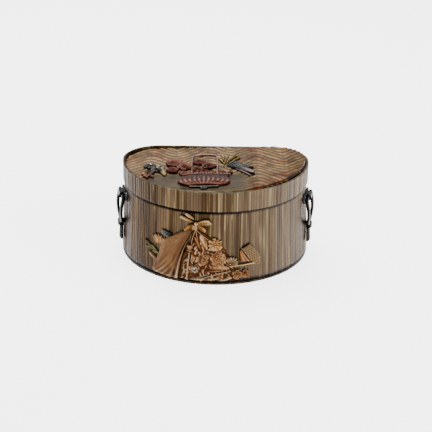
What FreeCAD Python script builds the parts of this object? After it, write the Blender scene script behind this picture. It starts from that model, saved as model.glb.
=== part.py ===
import FreeCAD, Part
import math
import os

from FreeCAD import Vector

# Driving sizes of the case and its lid, in millimetres
lid_width = 121.2  # four sun
rear_corner = 24.6  # radius of the two back corners
total_height = 61.0  # floor to the lid's top edge
lid_height = 12.5  # height of the lid's hoop
seam_gap = 0.5  # shadow line between hoop and case
wall_top_inset = 0.97  # the case is drawn in under the hoop
wall_foot_spread = 1.3  # and spreads again at its foot
wall_thickness = 1.65  # at the seam, where the wall is thinnest
hoop_thickness = 1.8
base_thickness = 1.4
base_inset = 0.35  # the base plate shows as a thin dark line

# Reeding
reed_pitch = 2.3
reed_depth = 0.3

# Lacquered lining, its collar and the ledge for the tray
lining_gap = 0.05
lining_thickness = 1.5
collar_rise = 7.6  # how far the lining stands above the seam
floor_lining_thickness = 1.0
ledge_width = 2.2
ledge_thickness = 2.0
ledge_height = 24.0

# Tray
tray_gap = 0.6
tray_wall = 1.6
tray_floor_thickness = 1.6
tray_depth = 20.0
divider_thickness = 1.6
divider_height = 12.0
divider_y = 20.0  # long divider in front of the brushes
divider_x = 24.0  # two short dividers beside the ink stone

# Ink stone
stone_width = 42.0
stone_length = 50.0
stone_height = 9.0
stone_border = 4.0
pond_length = 13.0
pond_depth = 5.0
slab_depth = 1.6
stone_front_gap = 1.0
stone_corner = 1.2
slab_fall = 0.6  # the slab's slope towards the pond
over_cut = 1.0  # how far a cutting solid stands past what it cuts

# Water dropper, ink stick and brushes
dropper_radius = 11.0
dropper_height = 13.0
dropper_hole_radius = 2.0
dropper_edge = 3.2
dropper_floor = 4.0
dropper_back_gap = 4.0  # to the long divider
stopper_clearance = 0.08
stopper_length = 5.0
stopper_knob_radius = 3.0
stopper_knob_rise = 2.6  # the knob's middle over the dropper's top
ink_stick_width = 10.0
ink_stick_length = 34.0
ink_stick_height = 7.0
ink_stick_edge = 1.5
ink_stick_back_gap = 2.0
ink_stick_gap = 3.0
brush_lengths = (72.0, 60.0)  # without the hair
brush_radii = (3.0, 2.2)
brush_swell = 1.12  # the hair's belly against the handle
ferrule_length = 8.0
brush_tip_length = 17.0
brush_belly_share = 0.35  # where along the hair its belly lies
brush_root_share = 0.9  # the hair's root against the handle
brush_point_radius = 0.3
brush_spacing = 7.6
content_gap = 0.3
brush_side_gap = 1.0

# Lid
ring_width = 3.4
ring_thickness = 1.4
panel_gap = 0.5
panel_thickness = 1.2
panel_tilt = 1.9  # degrees, right side up
weave_rows = 22
weave_depth = 0.55
weave_columns = (-60.0, -42.0, -26.0, -4.5, 10.8, 26.6, 44.0, 60.0)
weave_slope = 0.95
spare_rows = 8  # rows built past the panel's front, which the slope brings in

# Side handles
handle_angle = 78.0  # degrees round from the middle of the front
handle_height = 41.0
handle_reach = 1.95  # from the wall to the hinge line
bail_bar_radius = 1.0
bail_half_width = 10.0
bail_drop = 19.5
bail_bar_width = 2.4
bail_thickness = 2.2
bail_bulge = 1.7
eye_width = 6.0
eye_wall = 1.2
eye_clearance = 0.08
tassel_length = 9.5
tassel_width = 10.0
tassel_knot_radius = 2.7
wall_clearance = 0.4

# Values worked out from the driving sizes
half_width = lid_width / 2
widest_y = half_width - (half_width + rear_corner) / 2  # line of greatest width
front_y = -(half_width + rear_corner) / 2
seam_height = total_height - lid_height
wall_top = seam_height - seam_gap
collar_top = seam_height + collar_rise
wall_inner = -wall_top_inset - wall_thickness
lining_outer = wall_inner - lining_gap
lining_inner = lining_outer - lining_thickness
tray_outer = lining_inner - tray_gap
tray_inner = tray_outer - tray_wall
tray_bottom = ledge_height + ledge_thickness
tray_floor_top = tray_bottom + tray_floor_thickness
axis_point = Vector(0, widest_y, 0)
up = Vector(0, 0, 1)


def plan_wire(offset, height):
    """Half circle in front, two round corners and a straight back."""
    side = half_width + offset
    back = widest_y + rear_corner + offset
    corner_x = half_width - rear_corner
    turn = math.sqrt(0.5) * (rear_corner + offset)
    points = {
        "left": Vector(-side, widest_y, height),
        "front": Vector(0, widest_y - side, height),
        "right": Vector(side, widest_y, height),
        "back_right": Vector(corner_x, back, height),
        "back_left": Vector(-corner_x, back, height),
    }
    right_turn = Vector(corner_x + turn, widest_y + turn, height)
    left_turn = Vector(-corner_x - turn, widest_y + turn, height)
    edges = [
        Part.Arc(points["left"], points["front"], points["right"]).toShape(),
        Part.Arc(points["right"], right_turn, points["back_right"]).toShape(),
        Part.LineSegment(points["back_right"], points["back_left"]).toShape(),
        Part.Arc(points["back_left"], left_turn, points["left"]).toShape(),
    ]
    return Part.Wire(edges)


def plan_prism(offset, low, high):
    return Part.Face(plan_wire(offset, low)).extrude(up * (high - low))


def plan_ring(outer, inner, low, high):
    return plan_prism(outer, low, high).cut(plan_prism(inner, low, high))


def plan_point(run, offset, height):
    """Point at a distance along the lid's outline, moved outward by offset."""
    front_run = math.pi * half_width
    corner_run = math.pi / 2 * rear_corner
    back_run = 2 * (half_width - rear_corner)
    corner_x = half_width - rear_corner
    if run <= front_run:
        angle = math.pi + run / half_width
        reach = half_width + offset
        return Vector(reach * math.cos(angle), widest_y + reach * math.sin(angle), height)
    run -= front_run
    reach = rear_corner + offset
    if run <= corner_run:
        angle = run / rear_corner
        return Vector(corner_x + reach * math.cos(angle), widest_y + reach * math.sin(angle), height)
    run -= corner_run
    if run <= back_run:
        return Vector(corner_x - run, widest_y + reach, height)
    angle = math.pi / 2 + (run - back_run) / rear_corner
    return Vector(reach * math.cos(angle) - corner_x, widest_y + reach * math.sin(angle), height)


def reeded_wire(offset, height):
    """Outline of small round reeds whose crests lie on the given offset."""
    around = math.pi * (half_width + rear_corner) + 2 * (half_width - rear_corner)
    count = round(around / reed_pitch)
    step = around / count
    edges = []
    for reed in range(count):
        first = plan_point(reed * step, offset - reed_depth, height)
        crest = plan_point((reed + 0.5) * step, offset, height)
        last = plan_point((reed + 1) % count * step, offset - reed_depth, height)
        edges.append(Part.Arc(first, crest, last).toShape())
    return Part.Wire(edges)


def wall_offset(height):
    """How far the case's outer face stands out from the lid's outline."""
    share = (height - base_thickness) / (wall_top - base_thickness)
    return wall_foot_spread - share * (wall_foot_spread + wall_top_inset)


def wall_radius(height):
    return half_width + wall_offset(height)


def wall_frame(angle):
    """Frame on the axis of the front: x along the wall, y up and z outward."""
    turn = math.radians(angle)
    along = Vector(math.cos(turn), math.sin(turn), 0)
    out = Vector(math.sin(turn), -math.cos(turn), 0)
    matrix = FreeCAD.Matrix(
        along.x, up.x, out.x, axis_point.x,
        along.y, up.y, out.y, axis_point.y,
        along.z, up.z, out.z, axis_point.z,
        0, 0, 0, 1)
    return FreeCAD.Placement(matrix)


def placed(shape, angle):
    shape.Placement = wall_frame(angle).multiply(shape.Placement)
    return shape


def front_cone(proud):
    """Solid bounded by the front wall's crests, grown outward by proud."""
    low = wall_radius(base_thickness) + proud
    high = wall_radius(wall_top) + proud
    return Part.makeCone(low, high, wall_top - base_thickness, axis_point + up * base_thickness)


parts = {}


def keep(name, shape):
    solids = shape.Solids
    if not solids or not shape.isValid():
        raise ValueError("bad shape " + name)
    parts[name] = solids[0] if len(solids) == 1 else Part.makeCompound(solids)


# Case: base plate, reeded wall, lining and tray ledge
def make_case():
    keep("base_plate", plan_prism(wall_foot_spread - base_inset, 0, base_thickness))
    skin = Part.makeLoft(
        [reeded_wire(wall_foot_spread, base_thickness), reeded_wire(-wall_top_inset, wall_top)],
        True, True)
    hollow = plan_prism(wall_inner, base_thickness, wall_top)
    keep("case_wall", skin.cut(hollow))
    keep("lining_wall", plan_ring(lining_outer, lining_inner, base_thickness, collar_top))
    keep("lining_floor", plan_prism(lining_inner - lining_gap, base_thickness,
                                    base_thickness + floor_lining_thickness))
    keep("tray_ledge", plan_ring(lining_inner, lining_inner - ledge_width, ledge_height, tray_bottom))


# Tray with its dividers
def make_tray():
    keep("tray_floor", plan_prism(tray_outer, tray_bottom, tray_floor_top))
    keep("tray_rim", plan_ring(tray_outer, tray_inner, tray_floor_top, tray_bottom + tray_depth))
    inside = plan_prism(tray_inner, tray_floor_top, tray_floor_top + divider_height)
    long_bar = Part.makeBox(lid_width, divider_thickness, divider_height,
                            Vector(-half_width, divider_y, tray_floor_top))
    keep("tray_divider_long", long_bar.common(inside))
    short_bars = []
    for side in (-1, 1):
        corner = Vector(side * divider_x - divider_thickness / 2, front_y, tray_floor_top)
        short_bars.append(Part.makeBox(divider_thickness, divider_y - front_y, divider_height, corner))
    keep("tray_dividers_short", Part.makeCompound(short_bars).common(inside))


# Ink stone with a grinding slab that slopes into its pond
def make_ink_stone():
    low = tray_floor_top
    tray_reach = half_width + tray_inner
    front = widest_y - math.sqrt(tray_reach ** 2 - (stone_width / 2) ** 2) + stone_front_gap
    stone = Part.makeBox(stone_width, stone_length, stone_height, Vector(-stone_width / 2, front, low))
    stone = stone.makeFillet(stone_corner, [edge for edge in stone.Edges if edge.BoundBox.ZLength > 1])
    inner_width = stone_width - 2 * stone_border
    slab_front = front + stone_border
    slab_back = front + stone_length - stone_border
    pond_front = slab_back - pond_length
    top = low + stone_height
    profile = [
        Vector(-inner_width / 2, slab_front, top + over_cut),
        Vector(-inner_width / 2, slab_front, top - slab_depth),
        Vector(-inner_width / 2, pond_front, top - slab_depth - slab_fall),
        Vector(-inner_width / 2, pond_front + pond_depth, top - pond_depth),
        Vector(-inner_width / 2, slab_back, top - pond_depth),
        Vector(-inner_width / 2, slab_back, top + over_cut),
    ]
    well = Part.Face(Part.makePolygon(profile + profile[:1])).extrude(Vector(inner_width, 0, 0))
    keep("ink_stone", stone.cut(well))


# Water dropper, ink stick and two brushes
def make_contents():
    low = tray_floor_top
    side_x = (divider_x + half_width + tray_inner) / 2
    centre = Vector(-side_x, divider_y - dropper_radius - dropper_back_gap, low)
    body = Part.makeCylinder(dropper_radius, dropper_height, centre)
    body = body.makeFillet(dropper_edge, [edge for edge in body.Edges if isinstance(edge.Curve, Part.Circle)])
    hole = Part.makeCylinder(dropper_hole_radius, dropper_height, centre + up * dropper_floor)
    keep("water_dropper", body.cut(hole))
    stem_radius = dropper_hole_radius - stopper_clearance
    stem = Part.makeCylinder(stem_radius, stopper_length, centre + up * (dropper_height - stopper_length))
    knob = Part.makeSphere(stopper_knob_radius, centre + up * (dropper_height + stopper_knob_rise))
    seat = Part.makeCylinder(dropper_radius, dropper_height, centre)
    keep("dropper_stopper", stem.fuse(knob.cut(seat)))
    corner = Vector(divider_x + divider_thickness / 2 + ink_stick_gap, divider_y - ink_stick_length - ink_stick_back_gap, low)
    stick = Part.makeBox(ink_stick_width, ink_stick_length, ink_stick_height, corner)
    keep("ink_stick", stick.makeFillet(ink_stick_edge, stick.Edges))


def make_brush(name, length, radius, y):
    """Handle, ferrule and swelling hair, lying along x."""
    along = Vector(1, 0, 0)
    belly = radius * brush_swell
    start = Vector(-(length + brush_tip_length) / 2, y, tray_floor_top + belly + content_gap)
    ferrule_start = start + along * (length - ferrule_length)
    hair_start = start + along * length
    belly_run = brush_tip_length * brush_belly_share
    keep(name + "_handle", Part.makeCylinder(radius, length - ferrule_length, start, along))
    keep(name + "_ferrule", Part.makeCylinder(radius, ferrule_length, ferrule_start, along))
    root = Part.makeCone(radius * brush_root_share, belly, belly_run, hair_start, along)
    point_run = brush_tip_length - belly_run
    point = Part.makeCone(belly, brush_point_radius, point_run, hair_start + along * belly_run, along)
    keep(name + "_hair", root.fuse(point))


def make_brushes():
    first_y = divider_y + divider_thickness + brush_radii[0] * brush_swell + brush_side_gap
    for index, name in enumerate(("brush_large", "brush_small")):
        make_brush(name, brush_lengths[index], brush_radii[index], first_y + index * brush_spacing)


# Lid hoop and the ring inside it that carries the panel
def make_lid():
    outer = Part.Face(reeded_wire(0, seam_height)).extrude(up * lid_height)
    keep("lid_hoop", outer.cut(plan_prism(-hoop_thickness, seam_height, total_height)))
    keep("lid_ring", plan_ring(-hoop_thickness, -hoop_thickness - ring_width, collar_top,
                               collar_top + ring_thickness))


def on_panel(shape):
    """Turn a shape built on a level panel to the panel's tilt."""
    shape.rotate(Vector(0, 0, total_height), Vector(0, 1, 0), -panel_tilt)
    return shape


# Panel woven in herringbone: one sawtooth prism per column, sheared up or down
def make_panel():
    plate_low = total_height - panel_thickness
    reach = half_width + rear_corner
    row = reach / weave_rows
    solids = []
    start_y = 0.0
    for column in range(len(weave_columns) - 1):
        left = weave_columns[column]
        right = weave_columns[column + 1]
        rise = (right - left) * weave_slope * (1 if column % 2 == 0 else -1)
        ridge = []
        for index in range(-spare_rows, weave_rows + 1):
            y = front_y + index * row + start_y
            ridge.append(Vector(left, y, total_height - weave_depth))
            ridge.append(Vector(left, y + row * 0.5, total_height))
        y_end = front_y + (weave_rows + 1) * row + start_y
        ridge.append(Vector(left, y_end, total_height - weave_depth))
        ridge.append(Vector(left, y_end, plate_low))
        ridge.append(Vector(left, front_y - spare_rows * row + start_y, plate_low))
        face = Part.Face(Part.makePolygon(ridge + ridge[:1]))
        solids.append(face.extrude(Vector(right - left, rise, 0)))
        start_y += rise
    woven = solids[0].multiFuse(solids[1:])
    plate = woven.common(plan_prism(-hoop_thickness - panel_gap, plate_low, total_height))
    keep("panel_plate", on_panel(plate))


# Side handles, each built in the frame of the wall where it hangs
# There a point is: distance along the wall, height, distance from the axis of the front
hinge_reach = wall_radius(handle_height) + handle_reach
along_wall = Vector(1, 0, 0)


def centred_box(width, tall, deep, height, near):
    return Part.makeBox(width, tall, deep, Vector(-width / 2, height - tall / 2, near))


def centred_rod(radius, length, height, reach):
    return Part.makeCylinder(radius, length, Vector(-length / 2, height, reach), along_wall)


def handle_eye():
    """Knuckle on a wall plate, bored for the bail's bar."""
    bore_radius = bail_bar_radius + eye_clearance
    eye_radius = bore_radius + eye_wall
    root = hinge_reach - handle_reach - 1
    knuckle = centred_rod(eye_radius, eye_width, handle_height, hinge_reach)
    neck = centred_box(eye_width, 2 * eye_radius, handle_reach + 1, handle_height, root)
    plate = centred_box(eye_width * 2.4, 2 * eye_radius + 1.5, handle_reach, handle_height, root)
    bore = centred_rod(bore_radius, eye_width + 2, handle_height, hinge_reach)
    return knuckle.fuse(neck).fuse(plate).cut(bore)


def bail_prism(half, top):
    """Prism of a U with a half round foot."""
    straight = handle_height - bail_drop + bail_half_width
    corners = [Vector(-half, straight, 0), Vector(-half, top, 0)]
    corners += [Vector(half, top, 0), Vector(half, straight, 0)]
    edges = [Part.LineSegment(first, second).toShape() for first, second in zip(corners, corners[1:])]
    edges.append(Part.Arc(corners[3], Vector(0, straight - half, 0), corners[0]).toShape())
    return Part.Face(Part.Wire(edges)).extrude(Vector(0, 0, 2 * half_width))


def bail_band(foot, foot_reach):
    """Bowed band that gives the bail its thickness and its bulge."""
    top = handle_height + bail_bar_radius
    middle = (handle_height + foot) / 2
    middle_reach = (hinge_reach + foot_reach) / 2 + bail_bulge
    sides = []
    for shift in (bail_thickness / 2, -bail_thickness / 2):
        path = ((top, hinge_reach), (middle, middle_reach), (foot, foot_reach))
        sides.append([Vector(-half_width, height, reach + shift) for height, reach in path])
    outer, inner = sides
    band = Part.Wire([
        Part.Arc(*outer).toShape(),
        Part.LineSegment(outer[2], inner[2]).toShape(),
        Part.Arc(*reversed(inner)).toShape(),
        Part.LineSegment(inner[0], outer[0]).toShape()])
    return Part.Face(band).extrude(along_wall * (2 * half_width))


def handle_bail(foot_reach):
    frame = bail_prism(bail_half_width, handle_height + bail_bar_radius)
    frame = frame.cut(bail_prism(bail_half_width - bail_bar_width, handle_height + 4 * bail_bar_radius))
    bar = centred_rod(bail_bar_radius, 2 * bail_half_width - bail_bar_width, handle_height, hinge_reach)
    foot = handle_height - bail_drop - 1
    return frame.common(bail_band(foot, foot_reach)).fuse(bar)


def handle_tassel(foot_reach):
    """Round knot over a flaring skirt."""
    knot_height = handle_height - bail_drop
    knot = Part.makeSphere(tassel_knot_radius, Vector(0, knot_height, foot_reach))
    skirt_top = knot_height - tassel_knot_radius * 0.6
    sections = []
    for height, width in ((skirt_top, tassel_width * 0.5), (skirt_top - tassel_length, tassel_width)):
        near = wall_radius(height) + wall_clearance
        corners = [Vector(side * width / 2, height, near) for side in (-1, 1)]
        corners += [Vector(side * width / 2, height, near + bail_thickness) for side in (1, -1)]
        sections.append(Part.makePolygon(corners + corners[:1]))
    return knot.fuse(Part.makeLoft(sections, True, True))


def make_handle(side, name):
    angle = side * handle_angle
    foot_reach = wall_radius(handle_height - bail_drop) + wall_clearance + bail_thickness / 2
    bail = handle_bail(foot_reach)
    tassel = handle_tassel(foot_reach).cut(bail)
    keep(name + "_handle_eye", placed(handle_eye(), angle).cut(front_cone(0)))
    keep(name + "_handle_tassel", placed(tassel, angle).cut(front_cone(wall_clearance * 0.9)))
    keep(name + "_handle_bail", placed(bail, angle))


class Ground:
    """A face that raised work lies on, with places given as two numbers."""

    def __init__(self, at, flat, frame, unit, grown, finish):
        self.at = at  # place and height above the face, as a point
        self.flat = flat  # place as a point in the frame
        self.frame = frame
        self.unit = unit  # millimetres in one step of the first number
        self.grown = grown  # the solid under the face, grown outward
        self.solid = grown(0)
        self.finish = finish
        self.laid = []

    def settle(self, shape):
        return self.finish(shape.cut(self.solid))


def wall_at(angle, height, proud=0.0):
    turn = math.radians(angle)
    reach = wall_radius(height) + proud
    return Vector(reach * math.sin(turn), widest_y - reach * math.cos(turn), height)


def wall_flat(angle, height, centre):
    return Vector(wall_radius(height) * math.sin(math.radians(angle - centre)), height, 0)


def panel_at(x, y, proud=0.0):
    return Vector(x, y, total_height + proud)


def panel_flat(x, y, centre):
    return Vector(x, y, 0)


def as_built(shape):
    return shape


def level_frame(centre):
    return FreeCAD.Placement()


def panel_block(proud):
    return plan_prism(0, 0, total_height + proud)


wall = Ground(wall_at, wall_flat, wall_frame, math.radians(1) * half_width, front_cone, as_built)
panel = Ground(panel_at, panel_flat, level_frame, 1.0, panel_block, on_panel)


def join(shapes):
    return shapes[0].multiFuse(shapes[1:]) if len(shapes) > 1 else shapes[0]


def cap_ball(ground, place, reach, rim, crown):
    """Ball whose cap falls from crown to rim over the given reach, with its seam on the far side."""
    radius = (reach * reach + (crown - rim) ** 2) / (2 * (crown - rim))
    centre = ground.at(place[0], place[1], crown - radius)
    out = ground.at(place[0], place[1], crown) - centre
    ball = Part.makeSphere(radius)
    ball.Placement = FreeCAD.Placement(centre, FreeCAD.Rotation(Vector(-1, 0, 0), out))
    return ball


def piece(ground, points, rim=0.4, crown=1.2, smooth=True):
    """Piece of the given outline that swells in its middle."""
    firsts = [point[0] for point in points]
    seconds = [point[1] for point in points]
    middle = ((min(firsts) + max(firsts)) / 2, (min(seconds) + max(seconds)) / 2)
    flat = [ground.flat(first, second, middle[0]) for first, second in points]
    if smooth:
        curve = Part.BSplineCurve()
        curve.interpolate(Points=flat, PeriodicFlag=True)
        wire = Part.Wire(curve.toShape())
    else:
        wire = Part.makePolygon(flat + flat[:1])
    prism = Part.Face(wire).extrude(Vector(0, 0, total_height + 20))
    prism.Placement = ground.frame(middle[0])
    reach = math.hypot((max(firsts) - min(firsts)) * ground.unit, max(seconds) - min(seconds)) / 2
    return ground.settle(prism.common(cap_ball(ground, middle, reach, rim, crown)))


def leaf(ground, start, end, width, crown=1.2):
    """Pointed oval from one place to another."""
    run = ((end[0] - start[0]) * ground.unit, end[1] - start[1])
    length = math.hypot(*run)
    side = (-run[1] / length * width / 2, run[0] / length * width / 2)
    swells = ((0.25, 0.8), (0.5, 1.0), (0.78, 0.62))
    outline = [start]
    for share, swell in swells:
        outline.append((start[0] + (run[0] * share + side[0] * swell) / ground.unit,
                        start[1] + run[1] * share + side[1] * swell))
    outline.append(end)
    for share, swell in reversed(swells):
        outline.append((start[0] + (run[0] * share - side[0] * swell) / ground.unit,
                        start[1] + run[1] * share - side[1] * swell))
    return piece(ground, outline, 0.3, crown)


def bar(ground, points, width, tall):
    """Strip of even width laid through places on the face, with mitred corners."""
    middle = points[len(points) // 2][0]
    flat = [ground.flat(first, second, middle) for first, second in points]
    runs = [(second - first).normalize() for first, second in zip(flat, flat[1:])]
    left = []
    right = []
    for place, before, after in zip(flat, runs[:1] + runs, runs + runs[-1:]):
        along = (before + after).normalize()
        side = Vector(-along.y, along.x, 0) * (width / 2 / along.dot(before))
        left.append(place + side)
        right.insert(0, place - side)
    prism = Part.Face(Part.makePolygon(left + right + left[:1])).extrude(Vector(0, 0, total_height + 20))
    prism.Placement = ground.frame(middle)
    return ground.settle(prism.common(ground.grown(tall)))


seam_step = 37.0  # turn from ball to ball, so that no two seams meet
fullest_cap = 0.8  # greatest height of a petal against its reach


def caps(ground, places):
    """Round petals: each is a ball cap of its own reach and height."""
    balls = []
    for index, (first, second, reach, crown) in enumerate(places):
        ball = cap_ball(ground, (first, second), reach, 0, min(crown, reach * fullest_cap))
        out = ground.at(first, second, 1) - ground.at(first, second)
        ball.rotate(ball.Placement.Base, out, (index + 0.3) * seam_step)
        balls.append(ball)
    return ground.settle(join(balls))


def blossom(ground, place, reach, petals, crown=1.3):
    """Ring of round petals about a raised heart."""
    share = math.sin(math.pi / petals)
    petal = reach * share * 1.15 / (1 + share)
    ring = reach - petal
    heart = max(reach * 0.34, ring - petal * 0.5)
    places = [(place[0], place[1], heart, crown * 1.45)]
    for index in range(petals):
        turn = 2 * math.pi * index / petals + 0.3
        places.append((place[0] + ring * math.sin(turn) / ground.unit, place[1] + ring * math.cos(turn),
                       petal, crown))
    return caps(ground, places)


smallest_scrap = 2.0  # cubic millimetres


def lay(ground, name, shape):
    """Keep a raised piece, cut away where it would run into those already laid."""
    for other in ground.laid:
        if shape.BoundBox.intersect(other.BoundBox):
            shape = shape.cut(other)
    solids = [solid for solid in shape.Solids if solid.Volume > smallest_scrap]
    keep(name, Part.makeCompound(solids))
    ground.laid.append(parts[name])


# Tied bouquet on the front of the case; a place is degrees round from the middle, and height
wrapper_outline = [
    (-12.4, 36.8), (-16.2, 35.4), (-20.5, 33.4), (-25.4, 30.0), (-31.0, 25.6), (-33.2, 19.0), (-35.4, 12.6),
    (-39.0, 4.2), (-33.5, 2.6), (-26.5, 2.2), (-21.2, 2.6), (-22.0, 8.0), (-20.8, 14.2), (-18.4, 20.8),
    (-14.9, 28.2),
]
wrapper_roll = [(-12.2, 36.0), (-15.2, 28.2), (-18.6, 20.8), (-21.0, 14.2), (-22.2, 8.0), (-21.6, 3.0)]
wrapper_folds = [
    [(-14.0, 34.4), (-22.0, 22.0), (-27.0, 10.0), (-28.5, 3.2)],
    [(-26.0, 19.0), (-30.0, 11.0), (-32.0, 3.6)],
    [(-31.4, 17.0), (-33.6, 10.0), (-36.0, 4.2)],
]
cord_knot = (-10.6, 40.8)
cord_loops = [((-3.2, 43.4), 3.4), ((-1.2, 40.4), 2.4), ((-4.6, 37.2), 2.6), ((-17.0, 37.8), 2.8)]
fan_outline = [
    (15.4, 24.2), (20.6, 27.2), (24.8, 22.0), (27.4, 17.2), (27.6, 12.4), (25.2, 11.6), (20.4, 16.6),
]
fan_lining_outline = [(14.6, 23.0), (15.0, 15.6), (22.4, 14.6), (19.2, 16.9)]
grass_lines = [((-32.4, 22.6), (-31.0, 29.6)), ((-34.4, 22.8), (-34.8, 30.4)), ((-36.4, 22.6), (-38.6, 28.4))]
wall_leaves = {
    "long_leaf": [(-4.2, 24.0), (-9.2, 33.2), 4.2],
    "crescent_leaf": [(-3.6, 12.6), (8.6, 14.8), 3.6],
    "ribbon_end": [(-25.6, 31.0), (-32.4, 31.6), 3.2],
    "brown_leaf": [(-34.4, 12.0), (-42.6, 14.6), 3.4],
}


def make_wall_relief():
    folds = [bar(wall, fold, 1.3, 1.8) for fold in wrapper_folds]
    folds.append(bar(wall, wrapper_roll, 2.1, 2.0))
    lay(wall, "bouquet_wrapper", join([piece(wall, wrapper_outline, 0.7, 1.5)] + folds))
    cord = [leaf(wall, cord_knot, end, width, 1.5) for end, width in cord_loops]
    lay(wall, "tie_cord", join(cord + [caps(wall, [cord_knot + (2.0, 1.6)])]))
    lay(wall, "bundle_tips", join([
        leaf(wall, (-11.8, 44.4), (-17.6, 47.2), 2.0),
        leaf(wall, (-12.6, 42.2), (-20.4, 45.0), 2.2)]))
    for name, (start, end, width) in wall_leaves.items():
        lay(wall, name, leaf(wall, start, end, width))
    lay(wall, "chrysanthemum", blossom(wall, (0.6, 27.0), 5.4, 12, 1.5))
    lay(wall, "camellia", blossom(wall, (2.4, 18.9), 5.2, 5, 1.8))
    lay(wall, "flower_bud", caps(wall, [(-14.4, 24.6, 2.4, 1.7), (-14.4, 22.4, 1.9, 1.3)]))
    lay(wall, "plum_blossom", blossom(wall, (-6.6, 17.2), 4.4, 5, 1.5))
    lay(wall, "ring_flower", blossom(wall, (-11.2, 11.2), 3.1, 6))
    lay(wall, "low_blossoms", join([
        blossom(wall, (13.4, 6.6), 3.4, 6),
        blossom(wall, (18.4, 6.9), 3.0, 5)]))
    lay(wall, "shell_flower", blossom(wall, (11.4, 17.6), 3.2, 7))
    lay(wall, "main_stem", bar(wall, [(-15.9, 2.4), (-15.6, 8.0), (-15.2, 14.0), (-14.6, 19.8)], 1.2, 0.8))
    lay(wall, "cross_stem", bar(wall, [(9.2, 13.0), (14.0, 13.1), (19.0, 13.4), (25.0, 13.2)], 1.4, 1.1))
    lay(wall, "ground_leaves", join([
        bar(wall, [(-5.6, 5.0), (-1.0, 7.0), (4.0, 8.6), (9.0, 9.4)], 1.2, 0.9),
        leaf(wall, (-14.4, 3.8), (-5.0, 4.8), 3.0),
        leaf(wall, (-6.0, 4.4), (3.4, 5.8), 3.0),
        leaf(wall, (2.4, 4.2), (10.0, 4.0), 2.8)]))
    lay(wall, "fan", piece(wall, fan_outline, 0.7, 1.5, False))
    lay(wall, "fan_lining", piece(wall, fan_lining_outline, 0.5, 1.0, False))
    needles = [bar(wall, [(-34.0, 16.4), (-42.4, 19.3)], 1.0, 0.9)]
    for index in range(6):
        root = (-34.4 - index * 1.5, 16.6 + index * 0.5)
        needles.append(bar(wall, [root, (root[0] - 3.4, root[1] + 3.6)], 0.9, 0.7))
        needles.append(bar(wall, [root, (root[0] - 4.4, root[1] - 0.6)], 0.9, 0.6))
    lay(wall, "pine_sprig", join(needles))
    blades = [leaf(wall, root, end, 1.6) for root, end in grass_lines]
    lay(wall, "grass_blades", Part.makeCompound(blades))


# Flower basket on the lid panel; a place is x and y
bowl_outline = [(-23.0, -14.0), (-21.8, -22.0), (-17.4, -29.0), (3.4, -29.0), (7.8, -22.0), (9.0, -14.0)]
bowl_middle_x = -7.0
bowl_lobes = 9
bowl_lobe_width = 3.7
bowl_crown = 3.0
foot_outline = [(-8.6, -35.4), (-5.4, -35.4), (-4.0, -29.4), (-10.0, -29.4)]
basket_rim_points = [(-23.4, -13.4), (-15.0, -12.4), (-7.0, -12.1), (1.0, -12.4), (9.4, -13.4)]
basket_arch_points = [
    (-14.8, -11.0), (-15.2, 4.0), (-15.2, 16.0), (-13.6, 21.4), (-7.4, 23.4), (-0.8, 22.0), (0.9, 16.6),
    (1.2, 4.0), (0.8, -11.0),
]
peony_places = [((-26.6, 9.4), 6.4, 7), ((-19.6, 2.0), 5.4, 6), ((-27.4, -3.6), 4.4, 5)]
heart_places = [((-10.6, 10.6), 4.8, 6), ((-4.4, 3.4), 5.0, 5), ((-11.6, -3.4), 4.6, 6)]
bloom_stem_points = [(-38.6, -4.0), (-41.4, -11.0), (-43.4, -15.6)]
dark_places = [((-42.2, 4.6), 4.4, 5), ((-37.4, -2.0), 4.0, 6), ((-42.0, -7.6), 3.2, 5)]


def make_panel_relief():
    lobes = []
    for index in range(bowl_lobes):
        x = bowl_middle_x + (index - (bowl_lobes - 1) / 2) * bowl_lobe_width
        fall = ((x - bowl_middle_x) / (bowl_lobes * bowl_lobe_width / 2)) ** 2
        crown = bowl_crown * (1 - 0.62 * fall)
        radius = (bowl_lobe_width ** 2 * 0.36 + crown ** 2) / (2 * crown)
        start = Vector(x, -half_width, total_height + crown - radius)
        lobes.append(Part.makeCylinder(radius, half_width, start, Vector(0, 1, 0)))
    flat = [Vector(x, y, total_height) for x, y in bowl_outline]
    bowl = Part.Face(Part.makePolygon(flat + flat[:1])).extrude(up * (bowl_crown + 1))
    lay(panel, "basket_bowl", panel.settle(join(lobes).common(bowl)))
    lay(panel, "basket_rim", bar(panel, basket_rim_points, 2.2, 2.3))
    lay(panel, "basket_foot", piece(panel, foot_outline, 0.8, 1.6, False))
    lay(panel, "basket_handle", bar(panel, basket_arch_points, 1.2, 1.5))
    for name, places, crown in (("peony_blooms", peony_places, 1.8), ("heart_blooms", heart_places, 1.6),
                                ("dark_blooms", dark_places, 1.6)):
        blooms = [blossom(panel, place, reach, petals, crown) for place, reach, petals in places]
        if name == "dark_blooms":
            blooms.append(bar(panel, bloom_stem_points, 1.3, 1.0))
        lay(panel, name, join(blooms))
    lay(panel, "green_leaf", leaf(panel, (-35.2, 3.0), (-31.0, -12.0), 5.0, 1.1))
    lay(panel, "gold_ears", join([
        bar(panel, [(5.0, 2.0), (6.2, 14.0), (8.2, 27.6)], 1.4, 0.9),
        leaf(panel, (6.0, 12.0), (3.8, 26.4), 2.4),
        leaf(panel, (7.2, 10.0), (11.4, 24.0), 2.4)]))
    lay(panel, "blue_leaves", join([
        leaf(panel, (7.4, 1.0), (13.6, 12.4), 3.0),
        leaf(panel, (9.8, 0.0), (17.2, 9.2), 3.0)]))
    lay(panel, "dark_leaf", leaf(panel, (11.4, 3.6), (26.4, -9.6), 6.4, 1.6))


make_case()
make_tray()
make_ink_stone()
make_contents()
make_brushes()
make_lid()
make_panel()
make_handle(-1, "left")
make_handle(1, "right")
make_wall_relief()
make_panel_relief()

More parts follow.
